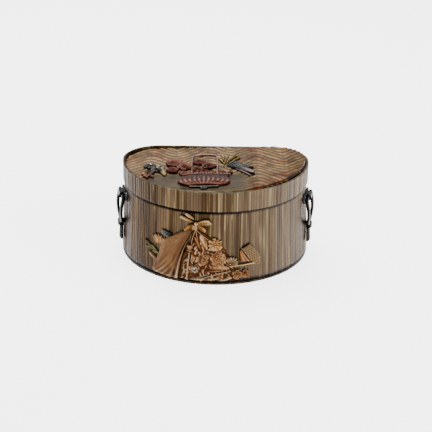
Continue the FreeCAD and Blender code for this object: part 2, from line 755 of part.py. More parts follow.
os.makedirs("parts", exist_ok=True)
for name, shape in parts.items():
    shape.exportStep("parts/" + name + ".step")
    box = shape.BoundBox
    print(name, len(shape.Solids), round(shape.Volume, 1), [round(v, 1) for v in
          (box.XMin, box.XMax, box.YMin, box.YMax, box.ZMin, box.ZMax)])
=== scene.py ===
import bisect
import random
from math import atan2, cos, degrees, exp, floor, hypot, pi, radians, sin, sqrt

import bmesh
import bpy
from mathutils import Matrix, Vector, noise


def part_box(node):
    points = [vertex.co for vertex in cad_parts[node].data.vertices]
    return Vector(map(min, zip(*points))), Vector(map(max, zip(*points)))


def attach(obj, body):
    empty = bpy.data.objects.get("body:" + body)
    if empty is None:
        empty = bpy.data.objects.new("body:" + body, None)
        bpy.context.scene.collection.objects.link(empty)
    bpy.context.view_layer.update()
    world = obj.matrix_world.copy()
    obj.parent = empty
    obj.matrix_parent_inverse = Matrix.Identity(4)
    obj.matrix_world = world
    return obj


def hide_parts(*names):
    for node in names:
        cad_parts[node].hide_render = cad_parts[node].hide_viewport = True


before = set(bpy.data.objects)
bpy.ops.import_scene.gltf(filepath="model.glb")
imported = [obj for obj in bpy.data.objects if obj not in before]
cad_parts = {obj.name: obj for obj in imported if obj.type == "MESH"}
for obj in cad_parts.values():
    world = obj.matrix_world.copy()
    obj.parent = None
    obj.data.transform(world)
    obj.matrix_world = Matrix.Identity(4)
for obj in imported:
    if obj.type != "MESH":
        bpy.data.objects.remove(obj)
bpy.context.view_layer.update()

mm = 0.001

# The view of the photograph: in front of the box and a little above it
print("camera and light")
photoView = {
    "place": (0.000677, -0.654278, 0.311111),
    "down": 23.402,  # degrees below level
    "roll": -0.8394,
    "lens": 91.54,
    "sensor": 36.0,
}
studio = {
    "floorColour": "F4F4F5",
    "floorGlow": 3.4,  # the paper is lit from below as well, so that it stays near white
    "skyColour": "F3F5F8",
    "skyStrength": 1.0,
    "keyPlace": (-0.2, 0.45, 1.15),  # large soft light over the back
    "keySize": 1.1,
    "keyPower": 20.0,
    "fillPlace": (1.1, -0.7, 0.6),  # brightens the right flank
    "fillSize": 1.2,
    "fillPower": 20.0,
}


def linearColour(hexColour):
    parts = [int(hexColour[i:i + 2], 16) / 255 for i in (0, 2, 4)]
    return tuple(c / 12.92 if c <= 0.04045 else ((c + 0.055) / 1.055) ** 2.4 for c in parts) + (1.0,)


usedOutput = {"MIX": 2, "TEX_COORD": "Object", "ATTRIBUTE": "Fac", "TEX_WAVE": "Fac"}  # where it isn't the first


def setInputs(tree, node, inputs):
    for socket, value in enumerate(inputs) if isinstance(inputs, list) else inputs.items():
        if isinstance(value, bpy.types.Node):
            value = value.outputs[usedOutput.get(value.type, 0)]
        if isinstance(value, bpy.types.NodeSocket):
            tree.links.new(value, node.inputs[socket])
        else:
            node.inputs[socket].default_value = value


def addNode(tree, kind, settings={}, inputs={}):
    node = tree.nodes.new("ShaderNode" + kind)
    for name, value in settings.items():
        if name == "stops":  # colour ramp stops as (place, hex)
            ramp = node.color_ramp
            while len(ramp.elements) < len(value):
                ramp.elements.new(0.5)
            for stop, (place, colour) in zip(ramp.elements, value):
                stop.position = place
                stop.color = linearColour(colour)
        else:
            setattr(node, name, value)
    setInputs(tree, node, inputs)
    return node


def newFinish(name, roughness, metallic=0.0):
    finish = bpy.data.materials.new(name)
    finish.use_nodes = True
    tree = finish.node_tree
    shader = tree.nodes["Principled BSDF"]
    setInputs(tree, shader, {"Roughness": roughness, "Metallic": metallic})
    return finish, tree, shader


def makeCamera():
    down = radians(photoView["down"])
    roll = radians(photoView["roll"])
    ahead = Vector((0, cos(down), -sin(down)))
    lift = Vector((0, sin(down), cos(down)))
    right = Vector((1, 0, 0))
    axes = Matrix((
        right * cos(roll) - lift * sin(roll),
        right * sin(roll) + lift * cos(roll),
        -ahead)).transposed().to_4x4()
    data = bpy.data.cameras.new("photoCamera")
    data.lens = photoView["lens"]
    data.sensor_width = photoView["sensor"]
    data.clip_start = 0.02
    data.clip_end = 30
    camera = bpy.data.objects.new("photoCamera", data)
    camera.matrix_world = Matrix.Translation(photoView["place"]) @ axes
    bpy.context.scene.collection.objects.link(camera)
    bpy.context.scene.camera = camera


def makeAreaLight(name, place, size, power):
    data = bpy.data.lights.new(name, "AREA")
    data.shape = "DISK"
    data.size = size
    data.energy = power
    light = bpy.data.objects.new(name, data)
    light.location = place
    light.rotation_euler = (Vector((0, 0, 0.03)) - Vector(place)).to_track_quat("-Z", "Y").to_euler()
    bpy.context.scene.collection.objects.link(light)


def makeStudio():
    world = bpy.data.worlds.new("paleStudio")
    world.use_nodes = True
    setInputs(world.node_tree, world.node_tree.nodes["Background"], {
        "Color": linearColour(studio["skyColour"]), "Strength": studio["skyStrength"]})
    bpy.context.scene.world = world
    bm = bmesh.new()
    bmesh.ops.create_grid(bm, x_segments=1, y_segments=1, size=5)
    mesh = bpy.data.meshes.new("paleFloor")
    bm.to_mesh(mesh)
    bm.free()
    backdrop = bpy.data.objects.new("paleFloor", mesh)
    bpy.context.scene.collection.objects.link(backdrop)
    paper, tree, shader = newFinish("matte backdrop paper", 0.9)  # even and near white, with no gloss
    white = linearColour(studio["floorColour"])
    setInputs(tree, shader, {"Base Color": white, "Emission Color": white, "Emission Strength": studio["floorGlow"]})
    mesh.materials.append(paper)
    for lamp in ("key", "fill"):
        makeAreaLight(lamp + "Light", studio[lamp + "Place"], studio[lamp + "Size"], studio[lamp + "Power"])


makeCamera()
makeStudio()

# The box's plan and walls, in millimetres, as the solids have them
plan = {
    "half": 60.6,
    "corner": 24.6,
    "widestY": 18.0,
    "total": 61.0,
    "seam": 48.5,
    "wallTop": 48.0,
    "floor": 1.4,
    "topInset": 0.97,
    "footSpread": 1.3,
    "tilt": 1.9,  # the panel stands up at its right side
}
frontRun = pi * plan["half"]
cornerRun = pi / 2 * plan["corner"]
backRun = 2 * (plan["half"] - plan["corner"])
aroundRun = frontRun + 2 * cornerRun + backRun


def planPoint(run, offset, height):  # a distance along the outline, moved outward
    half, corner, y0 = plan["half"], plan["corner"], plan["widestY"]
    cx = half - corner
    if run <= frontRun:
        angle = pi + run / half
        reach = half + offset
        return Vector((reach * cos(angle), y0 + reach * sin(angle), height)) * mm
    run -= frontRun
    reach = corner + offset
    if run <= cornerRun:
        angle = run / corner
        return Vector((cx + reach * cos(angle), y0 + reach * sin(angle), height)) * mm
    run -= cornerRun
    if run <= backRun:
        return Vector((cx - run, y0 + reach, height)) * mm
    angle = pi / 2 + (run - backRun) / corner
    return Vector((reach * cos(angle) - cx, y0 + reach * sin(angle), height)) * mm


def wallOffset(height):
    share = (height - plan["floor"]) / (plan["wallTop"] - plan["floor"])
    return plan["footSpread"] - share * (plan["footSpread"] + plan["topInset"])


def onWall(angle, height, proud):  # degrees right of the middle of the front
    turn = radians(angle)
    reach = plan["half"] + wallOffset(height) + proud
    return Vector((reach * sin(turn), plan["widestY"] - reach * cos(turn), height)) * mm


def onPanel(x, y, proud):
    tilt = radians(plan["tilt"])
    return Vector((x * cos(tilt) - proud * sin(tilt), y,
                   plan["total"] + x * sin(tilt) + proud * cos(tilt))) * mm


wall = {"at": onWall, "unit": 1.06, "body": "case"}  # millimetres in one degree
panel = {"at": onPanel, "unit": 1.0, "body": "panel"}


def clamp(value):
    return min(1.0, max(0.0, value))


def smoothStep(low, high, value):
    share = clamp((value - low) / (high - low))
    return share * share * (3 - 2 * share)


def ripple(x, y, z):
    return noise.noise(Vector((x, y, z)))


def hemmed(u, w, left, right, foot, top):  # 1 on a sheet, falling to 0 at its edges
    return min(1.0, u / left) * min(1.0, (1 - u) / right) * min(1.0, w / foot) * min(1.0, (1 - w) / top)


rootDepth = 0.35  # how far every raised piece reaches into its ground


def raised(rise, edge):
    return -rootDepth + (rise + rootDepth) * max(0.0, edge) ** 0.5


# Sheets of quads that are bent into place; crest is 0 in a groove and 1 on a high place: dark patina and painted shade
# low, wear and painted highlight high
def newSculpt():
    bm = bmesh.new()
    bm.verts.layers.float.new("crest")
    bm.verts.layers.float.new("tone")
    return bm


def addPatch(bm, columns, rows, place):
    crest = bm.verts.layers.float["crest"]
    tone = bm.verts.layers.float["tone"]
    for vert in bmesh.ops.create_grid(bm, x_segments=columns, y_segments=rows, size=1)["verts"]:
        spot, high, shade = place((vert.co.x + 1) / 2, (vert.co.y + 1) / 2)
        vert.co = spot
        vert[crest] = high
        vert[tone] = shade


def finishPiece(bm, name, body, finish, node=None):
    bmesh.ops.remove_doubles(bm, verts=bm.verts, dist=3e-6)
    bmesh.ops.recalc_face_normals(bm, faces=bm.faces)
    mesh = bpy.data.meshes.new(name)
    bm.to_mesh(mesh)
    bm.free()
    mesh.shade_smooth()
    mesh.materials.append(finish)
    piece = bpy.data.objects.new(name, mesh)
    bpy.context.scene.collection.objects.link(piece)
    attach(piece, body)
    if node:
        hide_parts(node)


# Chased metals: groove, body and crest colours, picked by the crest value of wear and painted light, mottled; grain is
# the mottling's size in mm
def makeMetal(name, groove, body, crest, other, rough, grain, mottle, lean=0.0):
    finish, tree, shader = newFinish(name, rough, 1.0)
    place = addNode(tree, "TexCoord")
    high, shade = [addNode(tree, "Attribute", {"attribute_name": layer}) for layer in ("crest", "tone")]
    drawn = addNode(tree, "Mapping", inputs={"Vector": place, "Scale": (1, 1, 1 - lean)})
    patches = addNode(tree, "TexNoise", inputs={
        "Vector": drawn, "Scale": 1000 / (grain * 4), "Detail": 4.0, "Roughness": 0.6})
    wearAndLight = addNode(tree, "Math", {"operation": "MULTIPLY_ADD"}, [patches, mottle, high])
    level = addNode(tree, "Math", {"operation": "SUBTRACT", "use_clamp": True}, [wearAndLight, mottle / 2])
    main = addNode(tree, "ValToRGB", {"stops": [(0.0, "0A0806"), (0.07, groove), (0.5, body), (0.95, crest)]}, [level])
    second = addNode(tree, "Mix", {"data_type": "RGBA", "blend_type": "SOFT_LIGHT"}, {
        0: 0.85, 6: main, 7: linearColour(other)})
    share = addNode(tree, "MapRange", inputs=[shade, 0.35, 0.85, 0.0, 1.0])
    colour = addNode(tree, "Mix", {"data_type": "RGBA"}, {0: share, 6: main, 7: second})
    fine = addNode(tree, "TexNoise", inputs={
        "Vector": place, "Scale": 1000 / 0.9, "Detail": 3.0, "Roughness": 0.65})  # tool marks, coarser than real
    gloss = addNode(tree, "MapRange", inputs=[fine, 0.3, 0.7, rough - 0.08, rough + 0.12])
    tooled = addNode(tree, "Bump", inputs={"Strength": 0.35, "Distance": 0.00012, "Height": fine})
    setInputs(tree, shader, {"Base Color": colour, "Roughness": gloss, "Normal": tooled})
    return finish


def recolour(finish):  # what a second patina needs: tree, shader, present colour, place, distance across the box
    tree = finish.node_tree
    shader = tree.nodes["Principled BSDF"]
    place = addNode(tree, "TexCoord")
    return tree, shader, shader.inputs["Base Color"].links[0].from_socket, place, addNode(
        tree, "SeparateXYZ", inputs=[place])


# Reeded walls: irregular upright reeds, each with its own width, height, sharpness and tone
print("reeded case wall and lid hoop")
caseReeds = {"seed": 4, "narrow": 1.0, "wide": 2.7, "depth": 0.4, "columns": 1500, "wander": 0.25}
hoopReeds = {"seed": 9, "narrow": 1.2, "wide": 3.2, "depth": 0.42, "columns": 1400, "wander": 0.12}
brightReeds = {"places": (5.9, 10.0, 16.0, 20.7, 27.5, 2.5, -24.0, -38.5), "width": 0.7}  # degrees, worn bright


def makeReeds(reeds):
    draw = random.Random(reeds["seed"])
    edges = [0.0]
    while edges[-1] < aroundRun - reeds["wide"]:
        edges.append(edges[-1] + reeds["narrow"] + (reeds["wide"] - reeds["narrow"]) * draw.random() ** 1.6)
    edges.append(aroundRun)
    rows = []
    for edge in edges:
        rows.append((draw.uniform(0.35, 1.0), draw.choice((0.55, 0.8, 1.4, 2.4)), draw.random()))
        draw.uniform(-0.5, 1.5)  # a spare draw, so that the reeds keep their forms
    return edges, rows


def reedAt(edges, rows, run, height, reeds):  # depth below the crest line, crest, tone
    sway = reeds["wander"] * ripple(run * 0.11, height * 0.035, reeds["seed"])
    moved = min(aroundRun - 1e-6, max(0.0, run + sway * smoothStep(0, 4, run) * smoothStep(0, 4, aroundRun - run)))
    index = bisect.bisect_right(edges, moved) - 1
    reedHigh, sharp, reedTone = rows[index]
    share = (moved - edges[index]) / (edges[index + 1] - edges[index])
    swell = 0.82 + 0.5 * ripple(index * 3.7, height * 0.06, reeds["seed"] + 5)
    high = min(1.0, reedHigh * swell) * sin(pi * share) ** sharp
    fine = 0.10 * ripple(run * 1.9, height * 0.05, 3.0)
    angle = degrees(run / plan["half"]) - 90
    for bright in brightReeds["places"]:
        gap = abs(angle - bright - 0.35 * ripple(height * 0.05, bright, 1.0))
        if gap < brightReeds["width"]:
            shown = smoothStep(-0.25, 0.2, ripple(height * 0.07, bright * 2.1, 6.0))
            high = max(high, shown * (1 - gap / brightReeds["width"]) ** 0.6)
    tone = reedTone + 0.5 * ripple(index * 1.3, height * 0.05, 8.0)
    return -reeds["depth"] * (1 - min(1.0, high)), clamp(high * 0.85 + fine), tone


def makeReededHoop(reeds, section, name, body, finish, node):
    edges, rows = makeReeds(reeds)
    bm = newSculpt()

    def place(u, w):
        offset, height, share, dark, lift = section[round(w * (len(section) - 1))]
        sunk, crest, tone = reedAt(edges, rows, u * aroundRun, height, reeds)
        return planPoint(u * aroundRun, offset + sunk * share, height), 0.1 + crest * 0.9 * dark + lift, tone

    addPatch(bm, reeds["columns"], len(section) - 1, place)
    bmesh.ops.remove_doubles(bm, verts=bm.verts, dist=2e-6)
    rims = [edge for edge in bm.edges if edge.is_boundary]
    if rims:
        bmesh.ops.bridge_loops(bm, edges=rims)
    finishPiece(bm, name, body, finish, node)


def caseSection():  # rows of offset, height, share of the reeds' depth, share of their crest, added crest; near the seam these put painted shade
    rows = []
    for index in range(24):
        height = plan["floor"] + sin(index / 23 * pi / 2) * (plan["wallTop"] - 0.3 - plan["floor"])
        low = smoothStep(0, 1.4, height - plan["floor"])
        low *= 1 - 0.97 * smoothStep(-1.35, -0.85, height - plan["wallTop"])  # painted shade under the hoop's overhang, at the seam
        rows.append((wallOffset(height) - 0.4 * (1 - low), height, 1, 0.1 + 0.9 * low, -0.6 * (1 - low)))
    # the top rows are set back under the hoop and painted dark as its shade
    top = wallOffset(plan["wallTop"]) - 0.4
    rows.append((top - 0.1, plan["wallTop"] - 0.05, 0.7, 0.05, -0.6))
    rows.append((top - 0.3, plan["wallTop"], 0.3, 0.02, -0.6))
    inner = top - 1.25
    rows.append((inner, plan["wallTop"], 0, 0.1, 0))
    rows.append((inner, plan["floor"], 0, 0.1, 0))
    return rows


def hoopSection():
    # the lowest rows carry painted shade at the seam, the top edge rows a painted highlight line, and the inner face
    # rows painted light that lifts its shade
    low, high = plan["seam"], plan["total"]
    rows = [(-0.45, low, 0.2, 0.02, -0.6), (-0.1, low + 0.12, 0.8, 0.1, -0.4), (-0.02, low + 0.28, 1, 0.8, 0)]
    for index in range(10):
        rows.append((0, low + 0.4 + index / 9 * (high - low - 0.8), 1, 1, 0))
    rows += [(-0.08, high - 0.16, 0.5, 0.5, 0.4), (-0.3, high - 0.02, 0.2, 0.2, 0.6), (-0.7, high, 0.1, 0.1, 0.6)]
    rows += [(-1.45, high, 0, 0.1, 0.45), (-1.75, high - 0.15, 0, 0, 0.25), (-1.8, high - 0.5, 0, 0, 0.7),
             (-1.8, high - 3, 0, 0, 0.6), (-1.8, low, 0, 0, 0)]
    return rows


# Patinated bronze: brown hollows and olive-gold reeds, painted light that makes it greyer and pinker towards the right,
# and painted shade on the left flank
def makeReededBronze():
    bronze = makeMetal("patinated reeded bronze", "372A21", "483A27", "696041", "6B5E4C", 0.44, 2.2, 0.35, 0.93)
    tree, shader, colour, place, across = recolour(bronze)
    # painted light: the right flank is screened paler and greyer
    side = addNode(tree, "MapRange", inputs=[across, -0.005, 0.045, 0.0, 0.62])
    grey = addNode(tree, "Mix", {"data_type": "RGBA", "blend_type": "SCREEN"}, {
        0: 0.5, 6: colour, 7: linearColour("4C4540")})
    mixed = addNode(tree, "Mix", {"data_type": "RGBA"}, {0: side, 6: colour, 7: grey})
    broad = addNode(tree, "Mapping", inputs={"Vector": place, "Scale": (1, 1, 0.12)})
    cloud = addNode(tree, "TexNoise", inputs={"Vector": broad, "Scale": 1000 / 12, "Detail": 3.0})
    dark = addNode(tree, "MapRange", inputs=[cloud, 0.3, 0.7, 0.72, 1.2])
    flank = addNode(tree, "MapRange", inputs=[across, -0.06, -0.022, 0.0, 1.0])
    paintedShadeLeft = addNode(tree, "ValToRGB", {"stops": [(0.0, "C9AE88"), (1.0, "FFFFFF")]}, [flank])
    for layer in (dark, paintedShadeLeft):  # clouds of patina, then painted shade darkening the left flank
        mixed = addNode(tree, "Mix", {"data_type": "RGBA", "blend_type": "MULTIPLY"}, {0: 1.0, 6: mixed, 7: layer})
    setInputs(tree, shader, {"Base Color": mixed})
    return bronze


reededBronze = makeReededBronze()
makeReededHoop(caseReeds, caseSection(), "reededWall", "case", reededBronze, "case_wall")
makeReededHoop(hoopReeds, hoopSection(), "reededHoop", "lid", reededBronze, "lid_hoop")

# Panel of flat metal strands woven in herringbone, left smooth in front round the basket
print("woven panel")
weave = {
    "folds": (-60.0, -42.0, -26.0, -4.5, 10.8, 26.6, 44.0, 60.0),  # x of each turn of the chevrons
    "slope": 0.95,
    "pitch": 5.3,  # strand to strand as the photograph shows it, wider than the solid's ridges
    "depth": 0.55,
    "inset": 2.3,  # hoop's thickness and the gap
    "thickness": 1.2,
    "columns": 300,
    "rows": 230,
}


def foldShift(x):
    shift = 0.0
    slope = weave["slope"]
    for fold, following in zip(weave["folds"], weave["folds"][1:]):
        if x <= fold:
            break
        shift += (min(x, following) - fold) * slope
        slope = -slope
    return shift


def weaveAt(x, y):
    shift = (foldShift(x - 2.2) + 2 * foldShift(x) + foldShift(x + 2.2)) / 4
    wavy = 2.4 * ripple(x * 0.05, y * 0.05, 2.0) + 1.5 * ripple(x * 0.13, y * 0.1, 6.0)
    phase = (y + 42.6 - shift + wavy) / weave["pitch"]
    strand = floor(phase)
    share = phase - strand
    column = bisect.bisect_right(weave["folds"], x)
    draw = ripple(strand * 7.31 + 0.5, column * 3.77, 0.5)
    ridge = sin(pi * share ** 0.8) ** 1.25
    ridge *= 0.86 + 0.14 * cos(share * 6 * pi)  # fine lines along each strand
    near = min(abs(x - fold) for fold in weave["folds"])
    ridge *= 0.8 + 0.2 * smoothStep(0, 1.6, near)
    smooth = smoothStep(-48, -42, x) * (1 - smoothStep(14, 24, x)) * (1 - smoothStep(-13, -4, y))
    brushed = 0.5 + 0.9 * ripple(x * 0.12 + y * 0.1, y * 1.6, 4.0)
    wearAndLight = 0.72 + 0.3 * draw + 0.75 * ripple(x * 0.16, y * 0.3 + strand, 8.0)
    crest = (0.16 + 0.74 * ridge * wearAndLight) * (1 - smooth) + smooth * (0.34 * brushed - 0.02)
    height = -weave["depth"] * (1 - ridge) * (1 - smooth) - smooth * (0.3 - 0.05 * brushed)
    tone = 0.3 + 0.7 * ripple(x * 0.06 + 9, y * 0.06 + strand * 0.2, 1.0)
    tone += 0.35 * smoothStep(5, 40, x) * smoothStep(12, -22, y) + 0.15 * draw
    return height, clamp(crest), tone * (1 - smooth) + smooth * 0.15


def makeWovenPanel(finish):
    reach = plan["half"] - weave["inset"]
    corner = plan["corner"] - weave["inset"]
    cornerX = plan["half"] - plan["corner"]
    bm = newSculpt()

    def place(u, w):
        x = -reach * cos(pi * u)
        front = plan["widestY"] - sqrt(max(0.0, reach ** 2 - x ** 2))
        past = max(0.0, abs(x) - cornerX)
        back = plan["widestY"] + sqrt(max(0.0, corner ** 2 - past ** 2))
        y = front + (back - front) * w
        height, crest, tone = weaveAt(x, y)
        sunk = smoothStep(2.6, 1.2, y - front) * smoothStep(-30, 25, x)  # sunk, and darkened as painted shadow: a dark line inside the rim at the front
        return onPanel(x, y, height - 0.9 * sunk), crest * (1 - sunk), tone

    addPatch(bm, weave["columns"], weave["rows"], place)
    bmesh.ops.remove_doubles(bm, verts=bm.verts, dist=2e-6)
    rim = [edge for edge in bm.edges if edge.is_boundary]
    skirt = bmesh.ops.extrude_edge_only(bm, edges=rim)["geom"]
    crestLayer = bm.verts.layers.float["crest"]
    low = onPanel(0, 0, -weave["thickness"]) - onPanel(0, 0, 0)
    for vert in skirt:
        if isinstance(vert, bmesh.types.BMVert):
            top = vert.co.z - onPanel(vert.co.x / mm, 0, 0).z
            vert.co += low - Vector((0, 0, top))
            vert[crestLayer] = 0.7
    bmesh.ops.contextual_create(bm, geom=[edge for edge in bm.edges if edge.is_boundary])
    finishPiece(bm, "wovenPanel", "panel", finish, "panel_plate")


# Copper and gilt bronze strands: pinkish copper on the left, olive gold on the right, red patches
def makeWovenCopper():
    copper = makeMetal("woven copper and bronze strands", "3C3324", "665137", "9F7856", "873D29", 0.42, 1.6, 0.3)
    tree, shader, colour, place, across = recolour(copper)
    side = addNode(tree, "MapRange", inputs=[across, 0.0, 0.05, 0.0, 0.55])
    olive = addNode(tree, "Mix", {"data_type": "RGBA", "blend_type": "MULTIPLY"}, {
        0: 1.0, 6: colour, 7: linearColour("E4D8A8")})
    mixed = addNode(tree, "Mix", {"data_type": "RGBA"}, {0: side, 6: colour, 7: olive})
    setInputs(tree, shader, {"Base Color": mixed})
    return copper


makeWovenPanel(makeWovenCopper())

# Raised work is laid on a ground, the wall or the panel: blades for petals and leaves,
# bosses for hearts and berries, strips for stems and cords
def movedPlace(ground, place, along, rise):
    return place[0] + along / ground["unit"], place[1] + rise


def addBlade(bm, ground, root, turn, length, width, low, high, look, tone=0.5):
    sine, cosine = sin(radians(turn)), cos(radians(turn))

    def place(u, w):
        u, w = clamp(u), clamp(w)
        across = sin(pi * (u - 0.5))
        half = width / 2 * max(0.0, sin(pi * w ** look["belly"])) ** look["tip"]
        side = across * half + look["bend"] * length * w * w
        along = length * w
        first, second = movedPlace(ground, root, sine * along + cosine * side, cosine * along - sine * side)
        edge = min(1.0, (1 - abs(across)) / 0.2) * min(1.0, (1 - w) / 0.07) * min(1.0, 0.3 + w / 0.1)
        ridge = exp(-(across * 5) ** 2)
        vein = cos((across * look["veins"] + w * look["slant"] * abs(across)) * pi)
        rise = low + (high - low) * w ** 0.7 + look["cup"] * (across * across - 0.35) * sin(pi * w)
        rise = max(0.2, rise + look["rib"] * ridge + 0.05 * vein)
        # painted shade and light: dark at the root and round the border where shade falls between pieces, bright
        # towards the tip, with the lip and rib brightened by wear and painted highlight
        crest = 0.22 + 0.42 * w + 0.32 * across ** 4 * look["lip"] + 0.35 * ridge * (look["rib"] > 0) + 0.1 * vein
        return ground["at"](first, second, raised(rise, edge)), crest * edge ** 0.7, tone

    addPatch(bm, look["cells"][0], look["cells"][1], place)


# Forms of a blade: where it is widest, how blunt its tip is, bend, hollow, rib, veins, lip brightened by wear and
# painted highlight, grid cells
petalLook = {"belly": 1.5, "tip": 0.5, "bend": 0.0, "cup": 0.5, "rib": 0.0, "veins": 3, "slant": 0,
             "lip": 1.0, "cells": (10, 12)}
rayLook = dict(petalLook, belly=1.2, tip=0.6, cup=0.3, veins=1, lip=0.9, cells=(8, 10))
leafLook = dict(petalLook, belly=1.0, tip=0.85, bend=0.05, cup=-0.35, rib=0.28, veins=5, slant=6, lip=0.5,
                cells=(14, 22))
needleLook = dict(petalLook, belly=0.8, tip=0.6, bend=0.03, cup=-0.3, rib=0.1, veins=0, lip=0.6, cells=(6, 10))


def addBladeTo(bm, ground, start, end, width, low, high, look, tone=0.5):
    along, rise = (end[0] - start[0]) * ground["unit"], end[1] - start[1]
    turn = degrees(atan2(along, rise))
    addBlade(bm, ground, start, turn, hypot(along, rise), width, low, high, look, tone)


def addBoss(bm, ground, place, reach, rise, beads=0, tone=0.5, bright=0.45):
    def spot(u, w):
        a, b = 2 * u - 1, 2 * w - 1
        x, y = a * sqrt(1 - b * b / 2), b * sqrt(1 - a * a / 2)
        far = min(1.0, hypot(x, y))
        swell = sqrt(max(0.0, 1 - far ** 2.4))
        bead = 0.5 + 0.5 * cos(beads * atan2(y, x)) * sin(pi * far) if beads else 1.0
        first, second = movedPlace(ground, place, x * reach, y * reach)
        high = -rootDepth + (rise + rootDepth) * swell * (0.85 + 0.15 * bead)
        return ground["at"](first, second, high), swell * (bright + 0.5 * bead), tone

    addPatch(bm, 14, 14, spot)


def addBlossom(bm, ground, place, reach, petals, crown, look, seed, layers=3, tone=0.5):
    draw = random.Random(seed)
    for layer in range(layers):
        share = 1 - 0.27 * layer
        low, high = crown * (0.2 + 0.26 * layer), crown * (0.72 + 0.2 * layer)
        for index in range(petals):
            turn = 360 * (index + 0.5 * layer) / petals + draw.uniform(-9, 9) + seed * 17
            length = reach * share * draw.uniform(0.9, 1.05)
            width = 2 * pi * reach * share * 0.62 / petals * draw.uniform(1.15, 1.4)
            addBlade(bm, ground, place, turn, length, width, low, high, look, tone + draw.uniform(-0.35, 0.35))
    addBoss(bm, ground, place, reach * 0.24, crown * 1.3, 6, tone)


def smoothPath(points, steps):  # a curve through the points
    ends = [points[0]] + list(points) + [points[-1]]
    path = []
    for index in range(len(points) - 1):
        for step in range(steps):
            t = step / steps
            path.append([0.5 * (2 * q + (r - p) * t + (2 * p - 5 * q + 4 * r - s) * t * t
                                + (3 * q - p - 3 * r + s) * t ** 3) for p, q, r, s in zip(*ends[index:index + 4])])
    path.append(list(points[-1]))
    return path


def alongPath(path, share):
    place = clamp(share) * (len(path) - 1)
    index = min(int(place), len(path) - 2)
    return [a + (b - a) * (place - index) for a, b in zip(path[index], path[index + 1])]


def between(left, right, u, w):  # a place between two outlines
    a, b = alongPath(left, w), alongPath(right, w)
    return a[0] + (b[0] - a[0]) * u, a[1] + (b[1] - a[1]) * u


def addStrip(bm, spots, outs, radius, flat=1.0, strands=0, lay=0.0, sides=12, taper=0.04, tone=0.5):
    last = len(spots) - 1

    def place(u, w):
        index = round(w * last)
        ahead = spots[min(last, index + 1)] - spots[max(0, index - 1)]
        side = ahead.cross(outs[index]).normalized()
        out = side.cross(ahead).normalized()
        angle = -2 * pi * u
        near = min(1.0, min(w, 1 - w) / taper)
        twist = cos(strands * angle + lay * w * 2 * pi) if strands else 0.0
        thick = radius(w) if callable(radius) else radius
        thick *= sqrt(max(0.0, 1 - (1 - near) ** 2)) * (1 + 0.14 * twist)
        spot = spots[index] + (side * cos(angle) + out * (sin(angle) * flat)) * thick * mm
        return spot, 0.32 + 0.4 * max(0.0, sin(angle)) + 0.26 * twist, tone

    addPatch(bm, sides, last, place)


def addStem(bm, ground, points, radius, flat=1.0, strands=0, lay=0.0, steps=8, tone=0.5, taper=0.04):
    path = smoothPath(points, steps)
    spots = [ground["at"](*spot) for spot in path]
    outs = [(ground["at"](a, b, c + 1) - ground["at"](a, b, c)).normalized() for a, b, c in path]
    addStrip(bm, spots, outs, radius, flat, strands, lay, 10, taper, tone)


def finishRelief(bm, name, body, finish, node=None):
    bmesh.ops.remove_doubles(bm, verts=bm.verts, dist=3e-6)
    rims = [edge for edge in bm.edges if edge.is_boundary]
    if rims:  # each sheet gets its hidden underside
        bmesh.ops.holes_fill(bm, edges=rims)
    finishPiece(bm, name, body, finish, node)


def makeRelief(ground, name, finish, slotName, node, *parts):  # a piece of blades, bosses, blossoms and stems
    bm = newSculpt()
    for add, *values in parts:
        add(bm, ground, *values)
    finishRelief(bm, name, ground["body"], finish, node)


# Inlaid metals of the raised work. To the eye the cloth copper is dull with brown folds, the gilt and olive
# gold are the warm glints, the pale and rose copper are greyer, the blackened alloys are dark shapes with
# rubbed edges, and the silver gives the pearls
clothCopper = makeMetal("patinated copper cloth", "2D1910", "594028", "827258", "674A2E", 0.42, 1.4, 0.3)
giltCopper = makeMetal("rubbed gilt copper", "201308", "72532E", "A48F73", "7E5C2E", 0.36, 1.2, 0.3)
warmCopper = makeMetal("cast and chased copper", "1F0E07", "624125", "8E775B", "6E4328", 0.38, 1.2, 0.3)
paleCopper = makeMetal("pale copper", "24170D", "594831", "867966", "664630", 0.38, 1.2, 0.3)
redCopper = makeMetal("scarlet patinated copper", "24120F", "58342A", "906655", "663B2F", 0.46, 1.3, 0.3)
oliveGold = makeMetal("green gold", "211E0C", "77633C", "C7AF7A", "6E6848", 0.4, 1.3, 0.3)
blackAlloy = makeMetal("blackened alloy with rubbed edges", "050506", "161617", "8E887E", "22201E", 0.46, 1.5, 0.25)
blueAlloy = makeMetal("blue-black alloy", "07080A", "232528", "8A8882", "30343A", 0.46, 1.3, 0.3)
mauveAlloy = makeMetal("mauve grey alloy", "0E0B0C", "332B2A", "8A7C74", "44383A", 0.46, 1.3, 0.3)
darkRedCopper = makeMetal("dark red patina copper", "0E0605", "44241D", "84584A", "502A22", 0.46, 1.3, 0.3)
greenBronze = makeMetal("green patinated bronze", "12140C", "34361F", "6E6A46", "3C4430", 0.46, 1.3, 0.3)
roseCopper = makeMetal("rose copper", "3A241E", "77584D", "B19990", "7A5449", 0.34, 1.2, 0.25)
rubbedSilver = makeMetal("rubbed silver", "34322E", "8C877E", "DDD9D2", "A6A39B", 0.3, 1.2, 0.2)

# Cloth wrapper of the bouquet: its folds gather upward into the knot
print("tied bouquet")
wrapper = {
    "knot": (-12.0, 37.8),
    "hem": [(-21.0, 2.3), (-26.5, 2.0), (-33.0, 2.5), (-38.9, 3.8), (-36.7, 10.5), (-34.5, 17.0), (-33.1, 22.5),
            (-30.8, 26.6), (-25.6, 30.6), (-20.5, 34.0), (-16.0, 36.4)],
    "corner": 0.3,  # share of the outline where the hem ends and the left edge begins
    "folds": 5.0,
    "depth": 0.8,
}


